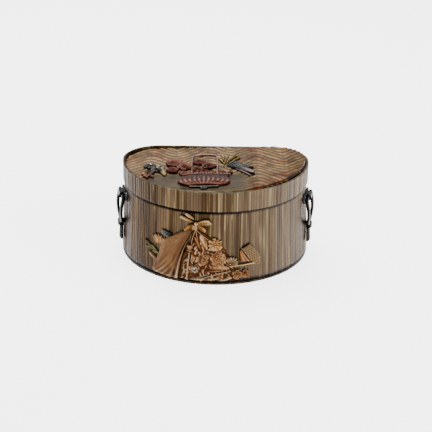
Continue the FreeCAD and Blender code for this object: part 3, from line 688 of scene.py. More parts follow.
def makeWrapper():
    bm = newSculpt()
    hem = smoothPath(wrapper["hem"], 12)
    corner = wrapper["corner"]

    def place(u, w):  # u goes round the outline, w from the knot to the outline
        u, w = clamp(u), clamp(w)
        end = alongPath(hem, u)
        knot = wrapper["knot"]
        turn = u / corner if u < corner else 1 + 0.35 * (u - corner) / (1 - corner)
        sway = 0.5 * ripple(turn * 2.6, w * 2.4, 1.0) + 0.1 * sin(3 * w)
        wave = 0.5 + 0.5 * cos(2 * pi * ((turn + sway * 0.4) * wrapper["folds"] + 0.35))
        deep = smoothStep(0.5, 0.98, w) * (1 - 0.8 * smoothStep(corner, corner + 0.15, u)) + 0.06
        deep *= 0.75 + 0.8 * ripple(turn * 5, 3.0, 1.0)
        fold = wave ** 1.5 * deep
        roll = exp(-((u - 0.03) / 0.022) ** 2)
        crease = exp(-((u - 0.075) / 0.014) ** 2)
        fine = 1.6 * ripple(turn * 60, w * 9, 3.0)
        angle = knot[0] + (end[0] - knot[0]) * w - 1.7 * sin(pi * w) * (1 - u) ** 2
        height = knot[1] + (end[1] - knot[1]) * w + 0.3 * (wave - 0.5) * smoothStep(0.85, 1.0, w) * (u < corner)
        rise = 1.0 + 0.55 * sin(pi * w) + wrapper["depth"] * (fold - 0.3 * deep) + 0.8 * roll - 0.5 * crease
        edge = min(1.0, u / 0.008) * min(1.0, (1 - u) / 0.02) * min(1.0, (1 - w) / 0.03)
        rim = exp(-((w - 0.955) / 0.02) ** 2)
        # painted light and shade: brighter fold ridges, painted highlight along the rolled edge and the hem's rim,
        # painted shadow in the crease and round the edges
        crest = 0.36 + 0.5 * (fold - 0.4 * deep) + 0.22 * roll - 0.34 * crease + 0.12 * fine + 0.2 * rim
        return (wall["at"](angle, height, raised(rise + 0.08 * fine, edge)),
                crest * (0.25 + 0.75 * edge), 0.5 + 0.5 * ripple(turn * 3, w * 2, 7.0))

    addPatch(bm, 210, 60, place)
    finishRelief(bm, "clothWrapper", "case", clothCopper, "bouquet_wrapper")


makeWrapper()

# Low mass of leaves and stems that fills the bouquet between its flowers
foliage = {
    "left": [(-21.2, 2.6), (-21.8, 8.0), (-20.8, 14.2), (-18.4, 20.8), (-14.9, 28.2), (-11.6, 36.4)],
    "right": [(12.6, 2.8), (13.4, 7.0), (11.4, 13.0), (8.4, 20.0), (3.0, 28.0), (-9.6, 36.4)],
    "leaves": 170,
    "seed": 77,
}


def makeFoliage():
    bm = newSculpt()
    left, right = smoothPath(foliage["left"], 8), smoothPath(foliage["right"], 8)

    def place(u, w):
        angle, height = between(left, right, u, w)
        lump = ripple(angle * 0.45, height * 0.4, 11.0)
        edge = hemmed(u, w, 0.03, 0.04, 0.03, 0.03)
        rise = (0.4 + 0.35 * smoothStep(0.08, 0.2, u)) * (1 + 0.4 * lump)
        return wall["at"](angle, height, -rootDepth + rise * max(0.0, edge) ** 0.5), 0.1 + 0.25 * max(0.0, lump), 0.5

    addPatch(bm, 70, 70, place)
    draw = random.Random(foliage["seed"])
    for leaf in range(foliage["leaves"]):
        u, w = draw.uniform(0.11, 0.94), draw.uniform(0.03, 0.86)
        angle, height = between(left, right, u, w)
        turn = degrees(atan2((angle + 11) * wall["unit"], height - 38)) + draw.uniform(-42, 42)
        length, width = draw.uniform(2.2, 4.4), draw.uniform(1.2, 2.6)
        if height + cos(radians(turn)) * length < 2.4 or angle + sin(radians(turn)) * length > 13.6:
            continue  # it would leave the bouquet
        addBlade(bm, wall, (angle, height), turn, length, width, 0.3, 0.5 + 0.3 * draw.random(),
                 dict(leafLook, cells=(6, 9), bend=draw.uniform(-0.2, 0.2), veins=1), draw.random())
    for end in ((-13.8, 25.0), (-8.6, 26.6), (-3.4, 30.2)):
        middle = ((end[0] - 11) / 2 - 0.3, (end[1] + 37) / 2)
        addStem(bm, wall, [(-11.0, 37.0, 0.7), middle + (0.6,), end + (0.5,)], 0.32)
    finishRelief(bm, "lowFoliage", "case", warmCopper)


makeFoliage()

# Tie: loops and ends spread from the knot, with the bundle's tips over it; a loop is end, width and bend
tie = {
    "knot": (-10.8, 40.6),
    "loops": [((-2.6, 43.6), 3.6, 0.12), ((-1.4, 40.8), 2.2, -0.1), ((-4.4, 36.6), 2.8, 0.1),
              ((-16.6, 38.0), 2.6, -0.12), ((-18.2, 35.9), 2.2, -0.05)],
    "tips": [((-11.6, 43.4), (-17.4, 47.0), 2.4), ((-12.2, 41.8), (-21.0, 44.6), 2.3)],
    "cord": [(-13.0, 37.6, 1.2), (-12.2, 37.7, 1.9), (-11.0, 37.7, 1.9), (-10.2, 37.6, 1.2)],
    "turns": 3,
    "pitch": 0.9,
}


def makeTie():
    loopLook = dict(leafLook, belly=1.5, tip=0.5, cup=0.9, rib=0.0, veins=1, slant=0, lip=2.0)
    loops = [(addBladeTo, tie["knot"], end, width, 1.5, 1.9 + 0.15 * (index % 2), dict(loopLook, bend=bend),
              0.3 + 0.2 * index) for index, (end, width, bend) in enumerate(tie["loops"])]
    cords = [(addStem, [(x, y + turn * tie["pitch"], rise) for x, y, rise in tie["cord"]], 0.5, 1.0, 3, 3)
             for turn in range(tie["turns"])]
    makeRelief(wall, "tieCord", giltCopper, "gilt", "tie_cord",
               *loops, (addBoss, tie["knot"], 1.7, 2.3, 3, 0.3, 0.5), *cords)
    tipLook = dict(leafLook, belly=1.25, tip=0.6, rib=0.2, slant=0, veins=3, lip=1.2, bend=0.02)
    makeRelief(wall, "bundleTips", giltCopper, "gilt", "bundle_tips",
               *[(addBladeTo, *tip, 1.3, 1.9, tipLook, 0.3) for tip in tie["tips"]])


makeTie()

# Flowers of the bouquet; a place is degrees from the middle, and height
bouquet = {
    "chrysanthemum": {"place": (0.6, 27.0), "reach": 5.4, "rays": 15},
    "camellia": {"place": (2.4, 18.6),  # outer petals as turn, length, width and rise; the lowest is like a cup
                 "outer": [(180, 5.3, 7.6, 1.3), (235, 5.0, 5.6, 1.1), (125, 5.0, 5.6, 1.1), (290, 4.7, 5.0, 1.1),
                           (70, 4.7, 5.0, 1.1), (0, 4.6, 5.4, 1.1)]},
    "plum": {"place": (-6.6, 17.2), "reach": 4.3},
    "ring": {"place": (-11.2, 11.0), "reach": 3.2, "ring": 1.55},
    "bud": {"place": (-14.4, 22.0), "petals": [(-14, 4.9, 2.6, 0.6, 1.3), (16, 4.9, 2.6, 0.6, 1.3),
                                               (0, 4.9, 3.0, 1.0, 2.1)]},
    "low": [((13.4, 6.8), 3.4, 6), ((18.4, 7.1), 3.0, 5)],
    "shell": {"place": (9.2, 14.4), "petals": 8},
}


def makeFlowers():
    place, reach, rays = bouquet["chrysanthemum"].values()
    draw = random.Random(21)
    blades = []
    for layer in range(4):  # many narrow rays that rise like flames
        count = rays - layer * 3
        for index in range(count):
            turn = 360 * index / count + layer * 13 + draw.uniform(-7, 7)
            length = reach * (1 - 0.2 * layer) * draw.uniform(0.82, 1.05)
            blades.append((addBlade, place, turn, length, 1.75, 0.4 + 0.36 * layer, 0.9 + 0.38 * layer, rayLook,
                           draw.random()))
    makeRelief(wall, "chrysanthemumHead", giltCopper, "gilt", "chrysanthemum", *blades, (addBoss, place, 1.0, 2.5, 5))

    x, y = place = bouquet["camellia"]["place"]
    makeRelief(wall, "camelliaHead", warmCopper, "gilt", "camellia",
               *[(addBlade, place, turn, length, width, 0.3, high, petalLook, 0.6)
                 for turn, length, width, high in bouquet["camellia"]["outer"]],
               *[(addBlade, (x, y + 0.6), index * 51.4 + 12, 3.4, 2.5, 0.7, 1.55, petalLook, 0.2 + 0.1 * index)
                 for index in range(7)],
               *[(addBlade, (x, y + 0.8), index * 72 + 30, 2.1, 1.5, 1.2, 1.8, rayLook, 0.1) for index in range(5)],
               (addBoss, (x, y + 0.8), 0.8, 2.0, 4))

    place, reach = bouquet["plum"].values()
    makeRelief(wall, "plumBlossom", warmCopper, "pale_copper", "plum_blossom",
               (addBlossom, place, reach, 5, 1.3, petalLook, 3, 2),
               *[(addBlade, place, index * 40, 1.9, 0.5, 1.2, 1.6, needleLook, 0.2) for index in range(9)])

    place, reach, small = bouquet["ring"].values()
    x, y = place
    ring = [(x + small * sin(turn) / wall["unit"], y + small * cos(turn), 1.5)
            for turn in [radians(24 * index) for index in range(16)]]
    makeRelief(wall, "ringFlower", paleCopper, "pale_copper", "ring_flower",
               (addBlossom, place, reach, 6, 1.2, petalLook, 5, 1), (addStem, ring, 0.42, 1.0, 0, 0, 3, 0.3, 0.01))
    makeRelief(wall, "ringFlowerPearl", rubbedSilver, "silver", None,
               (addBoss, (x - 0.1, y + 0.2), 0.95, 1.7, 0, 0.3, 0.8))

    place, petals = bouquet["bud"].values()
    makeRelief(wall, "flowerBud", warmCopper, "pale_copper", "flower_bud",
               *[(addBlade, place, *petal, dict(petalLook, belly=1.1, tip=0.6, cup=-0.5), 0.4) for petal in petals],
               *[(addBlade, place, turn, 2.2, 1.3, 0.8, 1.2, leafLook, 0.4) for turn in (-62, 58)])
    makeRelief(wall, "lowBlossoms", warmCopper, "pale_copper", "low_blossoms",
               *[(addBlossom, *low, 1.35, petalLook, 7 + index) for index, low in enumerate(bouquet["low"])])

    root, petals = bouquet["shell"].values()
    shellLook = dict(petalLook, cup=0.4, belly=1.9)
    makeRelief(wall, "shellFlower", paleCopper, "pale_copper", "shell_flower",
               *[(addBlade, root, -40 + index * 22, 5.6 - 0.3 * abs(index - 4), 1.5, 0.5 + 0.1 * (index % 2), 1.4,
                  shellLook, 0.3 + 0.3 * (index % 2)) for index in range(petals)],  # opens to the upper right
               (addBoss, root, 0.8, 1.4))


makeFlowers()

# Leaves as start, end, width, rise at both ends, look and tone; stems as places with their rise, and radius
greenery = {
    "longLeaf": [((-3.6, 23.2), (-9.4, 33.8), 4.4, 0.6, 1.0, dict(leafLook, bend=0.1), 0.4),
                 ((-7.4, 22.6), (-11.2, 33.0), 2.6, 0.9, 1.3, dict(leafLook, bend=-0.05), 0.8)],
    "crescentLeaf": [((-3.6, 11.4), (8.8, 14.2), 4.0, 0.6, 1.0, dict(leafLook, bend=0.2, cup=0.5, rib=0.0), 0.4),
                     ((-5.2, 9.4), (4.0, 11.2), 2.2, 0.5, 0.9, dict(leafLook, bend=0.16), 0.7)],
    "mainStem": ([(-15.9, 2.6, 0.5), (-15.6, 8.0, 0.5), (-15.2, 14.0, 0.5), (-14.6, 20.4, 0.5)], 0.62),
    "crossStem": ([(8.4, 12.8, 0.5), (14.0, 13.1, 0.7), (19.0, 13.4, 0.7), (25.2, 13.6, 0.5)], 0.66),
    "groundStem": ([(-7.4, 4.2, 0.4), (-3.4, 6.1, 0.5), (0.4, 7.4, 0.5), (5.0, 8.8, 0.6), (9.6, 9.7, 0.4)], 0.6),
    "groundLeaves": [((-15.0, 3.4), (-5.0, 5.2), 2.8, 0.1), ((-6.0, 3.6), (3.6, 5.8), 2.8, 0.08),
                     ((1.6, 3.4), (10.0, 4.4), 2.6, -0.06), ((-10.6, 4.4), (-3.0, 8.6), 2.0, 0.1),
                     ((-19.0, 4.2), (-16.6, 10.6), 2.2, -0.12), ((-18.6, 12.0), (-16.8, 17.6), 1.8, 0.1),
                     ((-13.8, 6.2), (-12.6, 12.2), 1.6, 0.1)],  # start, end, width and bend
    "brownLeaf": ((-34.6, 11.6), (-42.8, 14.8), 3.6, 0.5, 0.9, dict(leafLook, bend=0.12), 0.6),
    "pineStem": ([(-34.0, 16.6, 0.4), (-38.0, 18.0, 0.5), (-42.4, 19.3, 0.4)], 0.45),
}


def makeGreenery():
    makeRelief(wall, "longLeaf", warmCopper, "pale_copper", "long_leaf",
               *[(addBladeTo, *leaf) for leaf in greenery["longLeaf"]])
    makeRelief(wall, "crescentLeaf", warmCopper, "gilt", "crescent_leaf",
               *[(addBladeTo, *leaf) for leaf in greenery["crescentLeaf"]])
    makeRelief(wall, "mainStem", paleCopper, "pale_copper", "main_stem", (addStem, *greenery["mainStem"]))
    makeRelief(wall, "crossStem", giltCopper, "gilt", "cross_stem", (addStem, *greenery["crossStem"]))
    makeRelief(wall, "groundLeaves", paleCopper, "pale_copper", "ground_leaves",
               (addStem, *greenery["groundStem"]),
               *[(addBladeTo, start, end, width, 0.4, 0.75, dict(leafLook, bend=bend), 0.15 * index)
                 for index, (start, end, width, bend) in enumerate(greenery["groundLeaves"])])
    ribbonLook = dict(leafLook, belly=1.3, tip=0.4, slant=0)
    makeRelief(wall, "ribbonEnd", blueAlloy, "dark_alloy", "ribbon_end",  # with silver lines along it
               *[(addBladeTo, (-25.6, 31.6 - index * 0.9), (-33.0, 32.4 - index * 1.0), 1.7, 0.7, 1.0, ribbonLook, 0.4)
                 for index in range(3)])
    makeRelief(wall, "brownLeaf", clothCopper, "red_copper", "brown_leaf", (addBladeTo, *greenery["brownLeaf"]))
    draw = random.Random(31)
    needles = []
    for index in range(9):
        x, y = root = (-34.4 - index * 0.95, 16.7 + index * 0.32)
        for rise in (3.4, -0.9):
            end = (x - 3.8 + draw.uniform(-0.5, 0.5), y + rise + draw.uniform(-0.4, 0.4))
            needles.append((addBladeTo, root, end, 0.95, 0.4, 0.7, needleLook, draw.random()))
    makeRelief(wall, "pineSprig", greenBronze, "green_gold", "pine_sprig", (addStem, *greenery["pineStem"]), *needles)
    grass = []
    for spread in [(index - 4) / 4 for index in range(9)]:  # a tuft that opens upward
        root = (-34.3 + spread * 1.7, 22.4 + draw.uniform(-0.2, 0.3))
        end = (-34.9 + spread * 4.2, 29.8 - abs(spread) * 1.2 + draw.uniform(-0.6, 0.6))
        grass.append((addBladeTo, root, end, 0.95, 0.5, 0.9, dict(needleLook, bend=0.08 * spread), draw.random()))
    makeRelief(wall, "grassTuft", giltCopper, "gilt", "grass_blades", *grass)


makeGreenery()

# Fan with overlapping scales, and the copper of its underside
fanSizes = {
    "left": [(15.4, 24.2), (17.8, 20.6), (20.6, 16.4), (25.0, 11.7)],
    "right": [(20.6, 27.2), (24.8, 22.4), (27.4, 17.4), (27.7, 12.2)],
    "liningLeft": [(14.6, 23.0), (14.8, 19.0), (15.0, 15.6)],
    "liningRight": [(15.6, 23.8), (19.2, 17.9), (22.6, 14.7)],
    "scales": (5, 9),
}


def makeFan():
    bm = newSculpt()
    left, right = smoothPath(fanSizes["left"], 8), smoothPath(fanSizes["right"], 8)
    across, along = fanSizes["scales"]

    def place(u, w):
        row = w * along
        share = row - floor(row)
        scale = abs(sin(pi * (u * across + 0.5 * (floor(row) % 2))))
        edge = hemmed(u, w, 0.05, 0.05, 0.04, 0.04)
        rise = 0.9 + 0.55 * sin(pi * u) + 0.3 * scale * (1 - share)
        rim = exp(-(u / 0.09) ** 2) + exp(-((1 - u) / 0.07) ** 2)
        crest = 0.2 + 0.5 * scale * (1 - 0.7 * share) + 0.35 * rim
        return wall["at"](*between(left, right, u, w), raised(rise, edge)), crest * (0.3 + 0.7 * edge), 0.5

    addPatch(bm, 50, 72, place)
    finishRelief(bm, "fanFace", "case", paleCopper, "fan")
    bm = newSculpt()
    leftLining, rightLining = smoothPath(fanSizes["liningLeft"], 6), smoothPath(fanSizes["liningRight"], 6)

    def placeLining(u, w):
        fold = 0.5 + 0.5 * cos(2 * pi * (u * 2.5 + 0.2))
        edge = hemmed(u, w, 0.06, 0.04, 0.05, 0.05)
        high = -rootDepth + (1.15 + 0.3 * fold) * max(0.0, edge) ** 0.5
        return wall["at"](*between(leftLining, rightLining, u, w), high), (0.45 + 0.4 * fold) * (0.3 + 0.7 * edge), 0.7

    addPatch(bm, 24, 30, placeLining)
    finishRelief(bm, "fanLining", "case", warmCopper, "fan_lining")


makeFan()

# Flower basket on the panel; a place is x and y
print("flower basket")
basket = {
    "left": [(-16.0, -29.6), (-20.6, -28.2), (-23.2, -24.6), (-22.9, -20.4), (-20.8, -17.0), (-19.6, -13.2)],
    "right": [(2.0, -29.6), (6.6, -28.2), (9.2, -24.6), (8.9, -20.4), (8.2, -17.0), (8.8, -13.2)],
    "lobes": 11,
    "crown": 2.7,
    "handle": [(-14.8, -11.0, 0.4), (-15.2, 4.0, 0.6), (-15.2, 16.0, 0.7), (-13.6, 21.4, 0.7), (-7.4, 23.4, 0.7),
               (-0.8, 22.0, 0.7), (0.9, 16.6, 0.7), (1.2, 4.0, 0.6), (0.8, -11.0, 0.4)],
    "rim": [(-21.0, -13.4, 1.0), (-15.0, -12.4, 1.2), (-7.0, -12.1, 1.3), (1.0, -12.4, 1.2), (9.6, -13.4, 1.0)],
    "base": [(-16.4, -31.4, 0.3), (-7.0, -32.0, 0.4), (2.4, -31.4, 0.3)],
}


def makeBasket():
    bm = newSculpt()
    left, right = smoothPath(basket["left"], 8), smoothPath(basket["right"], 8)

    def place(u, w):
        u, w = clamp(u), clamp(w)
        lobe = abs(sin(pi * u * basket["lobes"])) ** 0.7
        weft = 0.5 + 0.5 * cos(2 * pi * (w * 5 + 0.5 * (floor(u * basket["lobes"]) % 2)))
        body = sin(pi * (0.02 + 0.96 * u)) ** 0.45 * sin(pi * (0.12 + 0.8 * w)) ** 0.5
        belly = smoothStep(0.78, 0.6, w)  # the lobes end under the flowers
        lobe = lobe * belly + (0.5 + 0.5 * cos(2 * pi * (w * 9 + 3 * u))) * (1 - belly)
        rise = 0.5 + basket["crown"] * (0.6 * body + 0.26 * body * lobe * (0.4 + 0.6 * belly)) + 0.14 * weft * body
        edge = hemmed(u, w, 0.02, 0.02, 0.03, 0.03)
        hem = smoothStep(0.2, 0.06, w)  # the pale worn lower edge
        glint = exp(-((w - 0.36) / 0.12) ** 2) * lobe ** 2 * belly
        crest = 0.14 + 0.24 * lobe + 0.4 * glint + 0.1 * weft * lobe + 0.55 * hem - 0.12 * (1 - belly)
        return (panel["at"](*between(left, right, u, w), raised(rise, edge)), crest * (0.3 + 0.7 * edge),
                0.5 + 0.4 * ripple(u * 6, w * 4, 2.0))

    addPatch(bm, 130, 44, place)
    finishRelief(bm, "basketBowl", "panel", redCopper, "basket_bowl")
    makeRelief(panel, "basketRim", redCopper, "red_copper", "basket_rim", (addStem, basket["rim"], 0.7, 0.8, 2, 18, 24))
    # the foot and base line in black alloy; their black also stands in as painted shadow under the bowl
    makeRelief(panel, "basketFoot", blackAlloy, "red_copper", "basket_foot",
               (addBlade, (-7.0, -29.4), 180, 6.0, 5.4, 0.6, 0.7, dict(petalLook, belly=1.2, tip=0.3, lip=0)),
               (addStem, basket["base"], 0.75, 0.8, 0, 0, 12))
    makeRelief(panel, "basketHandle", roseCopper, "red_copper", "basket_handle",
               (addStem, basket["handle"], 0.6, 1.0, 2, 30, 12))


makeBasket()

# Blooms as place, reach and petals; the ears as start, end, width and bend
blooms = {
    "peony": [((-26.6, 9.4), 6.4, 7), ((-19.6, 2.0), 5.4, 6), ((-27.4, -3.6), 4.4, 5)],
    "heart": [((-10.6, 10.6), 4.8, 6), ((-4.4, 3.4), 5.0, 5), ((-11.6, -3.4), 4.6, 6)],
    "dark": [((-42.2, 4.6), 4.4, 5), ((-37.4, -2.0), 4.0, 6), ((-42.0, -7.6), 3.2, 5)],
    "stem": [(-38.6, -4.0, 0.5), (-41.4, -11.0, 0.6), (-43.4, -15.8, 0.4)],
    "spill": {"petals": 26, "seed": 5},
    "ears": [((5.0, 2.0), (8.2, 27.4), 1.1, 0.03), ((6.0, 10.0), (3.6, 26.4), 1.4, -0.06),
             ((7.2, 8.0), (11.6, 24.4), 1.4, 0.08), ((5.6, 6.0), (1.6, 19.0), 1.0, -0.1),
             ((7.4, 5.0), (14.8, 18.6), 1.0, 0.1), ((6.4, 9.0), (6.0, 25.0), 1.0, -0.03),
             ((6.8, 8.0), (13.4, 22.0), 0.9, 0.06)],
}


def makeBlooms():
    draw = random.Random(blooms["spill"]["seed"])
    spill = [(addBlade, (-22.6 + index * 1.24, draw.uniform(-12.4, -7.4)), draw.uniform(-75, 75),
              draw.uniform(3.0, 5.2), draw.uniform(2.0, 3.4), 0.3, 0.9 + 0.5 * draw.random(), petalLook, draw.random())
             for index in range(blooms["spill"]["petals"])]  # petals and leaves over the rim
    leaves = [(addBlade, (-38.0, 0.0), turn, 6.0, 2.4, 0.4, 0.9, leafLook) for turn in (30, 75, 110)]
    bloomLook = dict(petalLook, lip=1.5)
    for name, piece, node, finish, slotName, crown, more in (
            ("peony", "peonyBlooms", "peony_blooms", redCopper, "red_copper", 1.9, []),
            ("heart", "heartBlooms", "heart_blooms", darkRedCopper, "red_copper", 1.7, spill),
            ("dark", "darkBlooms", "dark_blooms", blackAlloy, "dark_alloy", 1.7, leaves)):
        makeRelief(panel, piece, finish, slotName, node,
                   *[(addBlossom, *bloom, crown, bloomLook, 40 + index * 3, 4, 0.3 + 0.25 * index)
                     for index, bloom in enumerate(blooms[name])], *more)
    makeRelief(panel, "bloomStem", redCopper, "red_copper", None, (addStem, blooms["stem"], 0.8),
               *[(addBlade, (-41.4, -10.0), turn, 5.6, 2.6, 0.4, 0.9, leafLook) for turn in (150, 225, 275)])
    makeRelief(panel, "bloomPearls", rubbedSilver, "silver", None,
               (addBoss, (-41.9, 4.8), 1.0, 2.6, 0, 0.3, 0.8), (addBoss, (-37.2, -1.8), 0.8, 2.4, 0, 0.3, 0.6))
    makeRelief(panel, "greenLeaf", oliveGold, "green_gold", "green_leaf",
               (addBladeTo, (-35.0, 3.4), (-31.0, -12.4), 5.0, 0.5, 0.9, leafLook, 0.6))
    makeRelief(panel, "goldEars", oliveGold, "gilt", "gold_ears",
               *[(addBladeTo, start, end, width, 0.5, 0.9, dict(leafLook, bend=bend, veins=3), 0.2 * index)
                 for index, (start, end, width, bend) in enumerate(blooms["ears"])])
    blueLook = dict(leafLook, slant=0, veins=2, bend=0.06)  # narrow, with pale lines, fanned from one root
    makeRelief(panel, "blueLeaves", blueAlloy, "dark_alloy", "blue_leaves",
               *[(addBladeTo, (7.0 + index * 0.9, 2.4 - index * 0.75), (12.4 + index * 2.4, 12.6 - index * 2.4),
                  1.7, 0.5, 1.1, blueLook, 0.15 * index) for index in range(6)])
    makeRelief(panel, "darkLeaf", mauveAlloy, "dark_alloy", "dark_leaf",
               (addBladeTo, (10.6, 4.0), (26.8, -9.4), 7.0, 0.8, 1.4, dict(leafLook, bend=0.14, cup=-0.5)),
               (addBladeTo, (11.6, -0.6), (24.0, -12.4), 2.4, 0.3, 0.6, dict(needleLook, bend=0.16)))


makeBlooms()

# Side handles: a flat bail in two swelling curves, and a fringed tassel under it
print("side handles")
handle = {
    "angle": 78.0,
    "height": 41.0,
    "hinge": 61.92,  # from the axis of the front to the hinge line
    "foot": 62.42,
    "bulge": 1.45,
    "half": 8.8,
    "drop": 19.5,
    "bailRadius": 1.5,
    "tassel": [(24.0, 0.5), (23.4, 1.9), (22.2, 2.6), (20.8, 2.4), (19.8, 1.7), (19.2, 2.3), (17.0, 3.1),
               (14.0, 4.0), (11.4, 4.7), (10.5, 4.5), (10.45, 0.3)],
    "fringe": 15,
}


def onHandle(side, across, height, reach):
    turn = radians(handle["angle"] * side)
    return Vector((reach * sin(turn) + across * cos(turn),
                   plan["widestY"] - reach * cos(turn) + across * sin(turn), height)) * mm


def bailReach(height):
    share = (handle["height"] - height) / handle["drop"]
    swell = 4 * share * (1 - share) * handle["bulge"]
    return handle["hinge"] + (handle["foot"] - handle["hinge"]) * share + max(0.0, swell)


def makeHandle(side, name):
    half, top = handle["half"], handle["height"]
    bow = top - handle["drop"] + 10.0  # where the legs end and the round part begins
    route = [(-half + 1.2, top), (-half, top - 1.2), (-half, top - 5.2), (-half, bow)]
    route += [(-half * cos(radians(turn)), bow - half * sin(radians(turn))) for turn in range(18, 180, 18)]
    route += [(-across, height) for across, height in reversed(route[:4])]
    path = smoothPath(route, 8)
    spots = [onHandle(side, across, height, bailReach(height)) for across, height in path]
    out = (onHandle(side, 0, 0, 2) - onHandle(side, 0, 0, 1)).normalized()
    bm = newSculpt()
    addStrip(bm, spots, [out] * len(spots), lambda w: handle["bailRadius"] * (1 + 0.12 * cos(4 * pi * w)),
             0.78, 0, 0, 16, 0.02)
    inner = half - 0.6
    bar = [onHandle(side, -inner + index * inner / 10, top, handle["hinge"]) for index in range(21)]
    addStrip(bm, bar, [out] * len(bar), 0.98, 1.0, 0, 0, 12, 0.06)
    finishRelief(bm, name + "HandleBail", name + "_handle", blackAlloy, name + "_handle_bail")

    bm = newSculpt()
    profile = smoothPath(handle["tassel"], 4)

    def place(u, w):
        height, reach = alongPath(profile, w)
        angle = 2 * pi * u
        skirt = smoothStep(19.6, 18.4, height)
        flute = cos(handle["fringe"] * 2 * angle) * skirt
        thick = min(reach * (1 - skirt) + skirt * 1.05, 2.2) * (1 + 0.1 * flute)
        middle = plan["half"] + wallOffset(height) + 0.45 + min(thick, 1.2) + (1 - skirt) * 0.4
        spot = onHandle(side, reach * cos(angle), height, middle + thick * sin(angle))
        return spot, 0.35 + 0.35 * flute + 0.3 * (1 - skirt) * max(0.0, sin(angle)), 0.5

    addPatch(bm, 120, len(profile) - 1, place)
    finishRelief(bm, name + "HandleTassel", name + "_handle", blackAlloy, name + "_handle_tassel")


makeHandle(-1, "left")
makeHandle(1, "right")

# Brush hair: a fluted tuft that comes to a point, in place of the plain solids
print("brushes and inner fittings")
tuft = {"flutes": 18, "rows": 24, "belly": 0.35}


def makeHairTuft(node, name, body, finish):
    low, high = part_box(node)
    middle = [(a + b) / 2 for a, b in zip(low, high)]
    belly = (high[2] - low[2]) / 2
    bm = newSculpt()

    def place(u, w):  # the brush lies along x, with its point at the far end from the handle
        share = clamp(w)
        angle = 2 * pi * u
        swell = 0.88 + 0.12 * share / tuft["belly"]
        if share > tuft["belly"]:
            swell = (1 - (share - tuft["belly"]) / (1 - tuft["belly"])) ** 0.7
        flute = cos(angle * tuft["flutes"] + share * 3)
        reach = belly * 0.96 * swell * (1 + 0.03 * flute) * (share > 0)
        x = low[0] + (high[0] - low[0]) * share
        return Vector((x, middle[1] + reach * cos(angle), middle[2] + reach * sin(angle))), 0.5 + 0.4 * flute, share

    addPatch(bm, 4 * tuft["flutes"], tuft["rows"], place)
    finishRelief(bm, name, body, finish, node)


def makeHair():  # goat hair: cream, straight fibres gathered to a point
    finish = makeMetal("goat hair", "8C7448", "D2C09A", "F2E8D0", "C8B080", 0.6, 1.0, 0.2)
    tree = finish.node_tree
    setInputs(tree, tree.nodes["Principled BSDF"], {"Metallic": 0.0, "Sheen Weight": 0.3})
    return finish


goatHair = makeHair()
makeHairTuft("brush_large_hair", "largeBrushTuft", "large_brush", goatHair)
makeHairTuft("brush_small_hair", "smallBrushTuft", "small_brush", goatHair)


# Inner fittings keep their solids; each gets the finish of its own stuff, and grain is the pattern's size in mm
def makeStuff(name, stops, grain, rough, metallic=0.0, detail=4.0, coarse=0.6, drawn=(1, 1, 1), gloss=None, bumps=0.0):
    finish, tree, shader = newFinish(name, rough, metallic)
    place = addNode(tree, "Mapping", inputs={"Vector": addNode(tree, "TexCoord"), "Scale": drawn})
    cloud = addNode(tree, "TexNoise", inputs={
        "Vector": place, "Scale": 1000 / grain, "Detail": detail, "Roughness": coarse})
    setInputs(tree, shader, {"Base Color": addNode(tree, "ValToRGB", {"stops": stops}, [cloud])})
    if gloss:
        setInputs(tree, shader, {"Roughness": addNode(tree, "MapRange", inputs=[cloud, *gloss])})
    if bumps:
        uneven = addNode(tree, "Bump", inputs={"Strength": bumps, "Distance": 0.0001, "Height": cloud})
        setInputs(tree, shader, {"Normal": uneven})
    return finish


def makeLacquer():  # wiped lacquer on thin wood: deep red-brown, drawn out along the grain, hardly glossy
    finish = makeStuff("wiped brown lacquer", [(0.3, "170C09"), (0.55, "2A1510"), (0.8, "43221A")], 1.6, 0.4,
                       drawn=(0.12, 1, 1))
    setInputs(finish.node_tree, finish.node_tree.nodes["Principled BSDF"], {"Specular IOR Level": 0.12})
    return finish


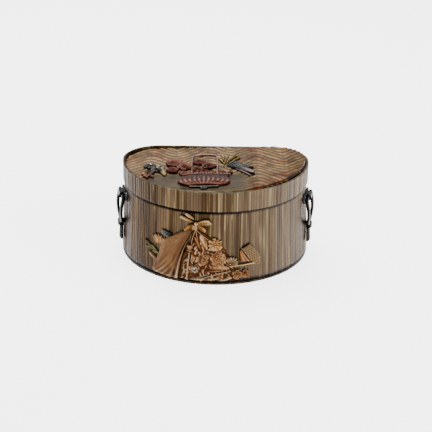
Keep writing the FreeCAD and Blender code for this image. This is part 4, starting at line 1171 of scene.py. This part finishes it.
def makeBamboo():  # polished bamboo: long pale fibres and a darker ring now and then
    finish, tree, shader = newFinish("polished bamboo", 0.38)
    place = addNode(tree, "TexCoord")
    drawn = addNode(tree, "Mapping", inputs={"Vector": place, "Scale": (0.05, 1, 1)})
    fibre = addNode(tree, "TexNoise", inputs={"Vector": drawn, "Scale": 1000 / 0.6, "Detail": 3.0})
    rings = addNode(tree, "TexWave", {"bands_direction": "X"}, {
        "Vector": place, "Scale": 1000 / 26 / 20 * 6.28, "Distortion": 0.4})  # a ring every 26 mm
    ring = addNode(tree, "MapRange", inputs=[rings, 0.0, 0.04, 0.35, 0.0])
    level = addNode(tree, "Math", {"operation": "SUBTRACT", "use_clamp": True}, [fibre, ring])
    colour = addNode(tree, "ValToRGB", {"stops": [(0.1, "5E4322"), (0.45, "AD8A52"), (0.7, "C9A86C")]}, [level])
    setInputs(tree, shader, {"Base Color": colour})
    return finish


def makeUncarved(name, low, middle, high, rough, grain):  # a metal whose solid has no crest values
    return makeStuff(name, [(0.32, low), (0.52, middle), (0.72, high)], grain, rough, 1.0, coarse=0.65,
                     gloss=(0.3, 0.7, rough - 0.06, rough + 0.12), bumps=0.25)


slate = [(0.3, "1E2022"), (0.6, "2E3032"), (0.8, "50524F")]  # fine pale specks on near black, matt
ink = [(0.35, "0B0B0D"), (0.7, "1D1C22")]  # pressed soot and glue: black with a faint uneven sheen
for finish, nodes in (
        (makeUncarved("dark base bronze", "15110D", "2C231A", "4A3C2C", 0.5, 3.0), ["base_plate"]),
        (makeUncarved("cast black alloy", "0B0C0E", "232427", "6A6864", 0.36, 2.0),
         ["left_handle_eye", "right_handle_eye"]),
        (makeUncarved("cast brown bronze", "3A2A1C", "6B5238", "9A8258", 0.4, 3.0), ["water_dropper"]),
        (makeUncarved("gilt knob", "8A6430", "B98C48", "E4C27C", 0.32, 2.0), ["dropper_stopper"]),
        (makeUncarved("turned silver", "7E7A72", "A8A49C", "D8D4CC", 0.28, 1.5),
         ["brush_large_ferrule", "brush_small_ferrule"]),
        (makeLacquer(), ["lining_wall", "lining_floor", "tray_ledge", "tray_floor", "tray_rim", "tray_divider_long",
                         "tray_dividers_short", "lid_ring"]),
        (makeStuff("ground slate", slate, 0.7, 0.6, detail=5.0, coarse=0.7, bumps=0.3), ["ink_stone"]),
        (makeStuff("pressed ink", ink, 3.0, 0.42, coarse=0.5, gloss=(0.0, 1.0, 0.3, 0.6)), ["ink_stick"]),
        (makeBamboo(), ["brush_large_handle", "brush_small_handle"])):
    for node in nodes:
        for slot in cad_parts[node].material_slots:
            slot.material = finish
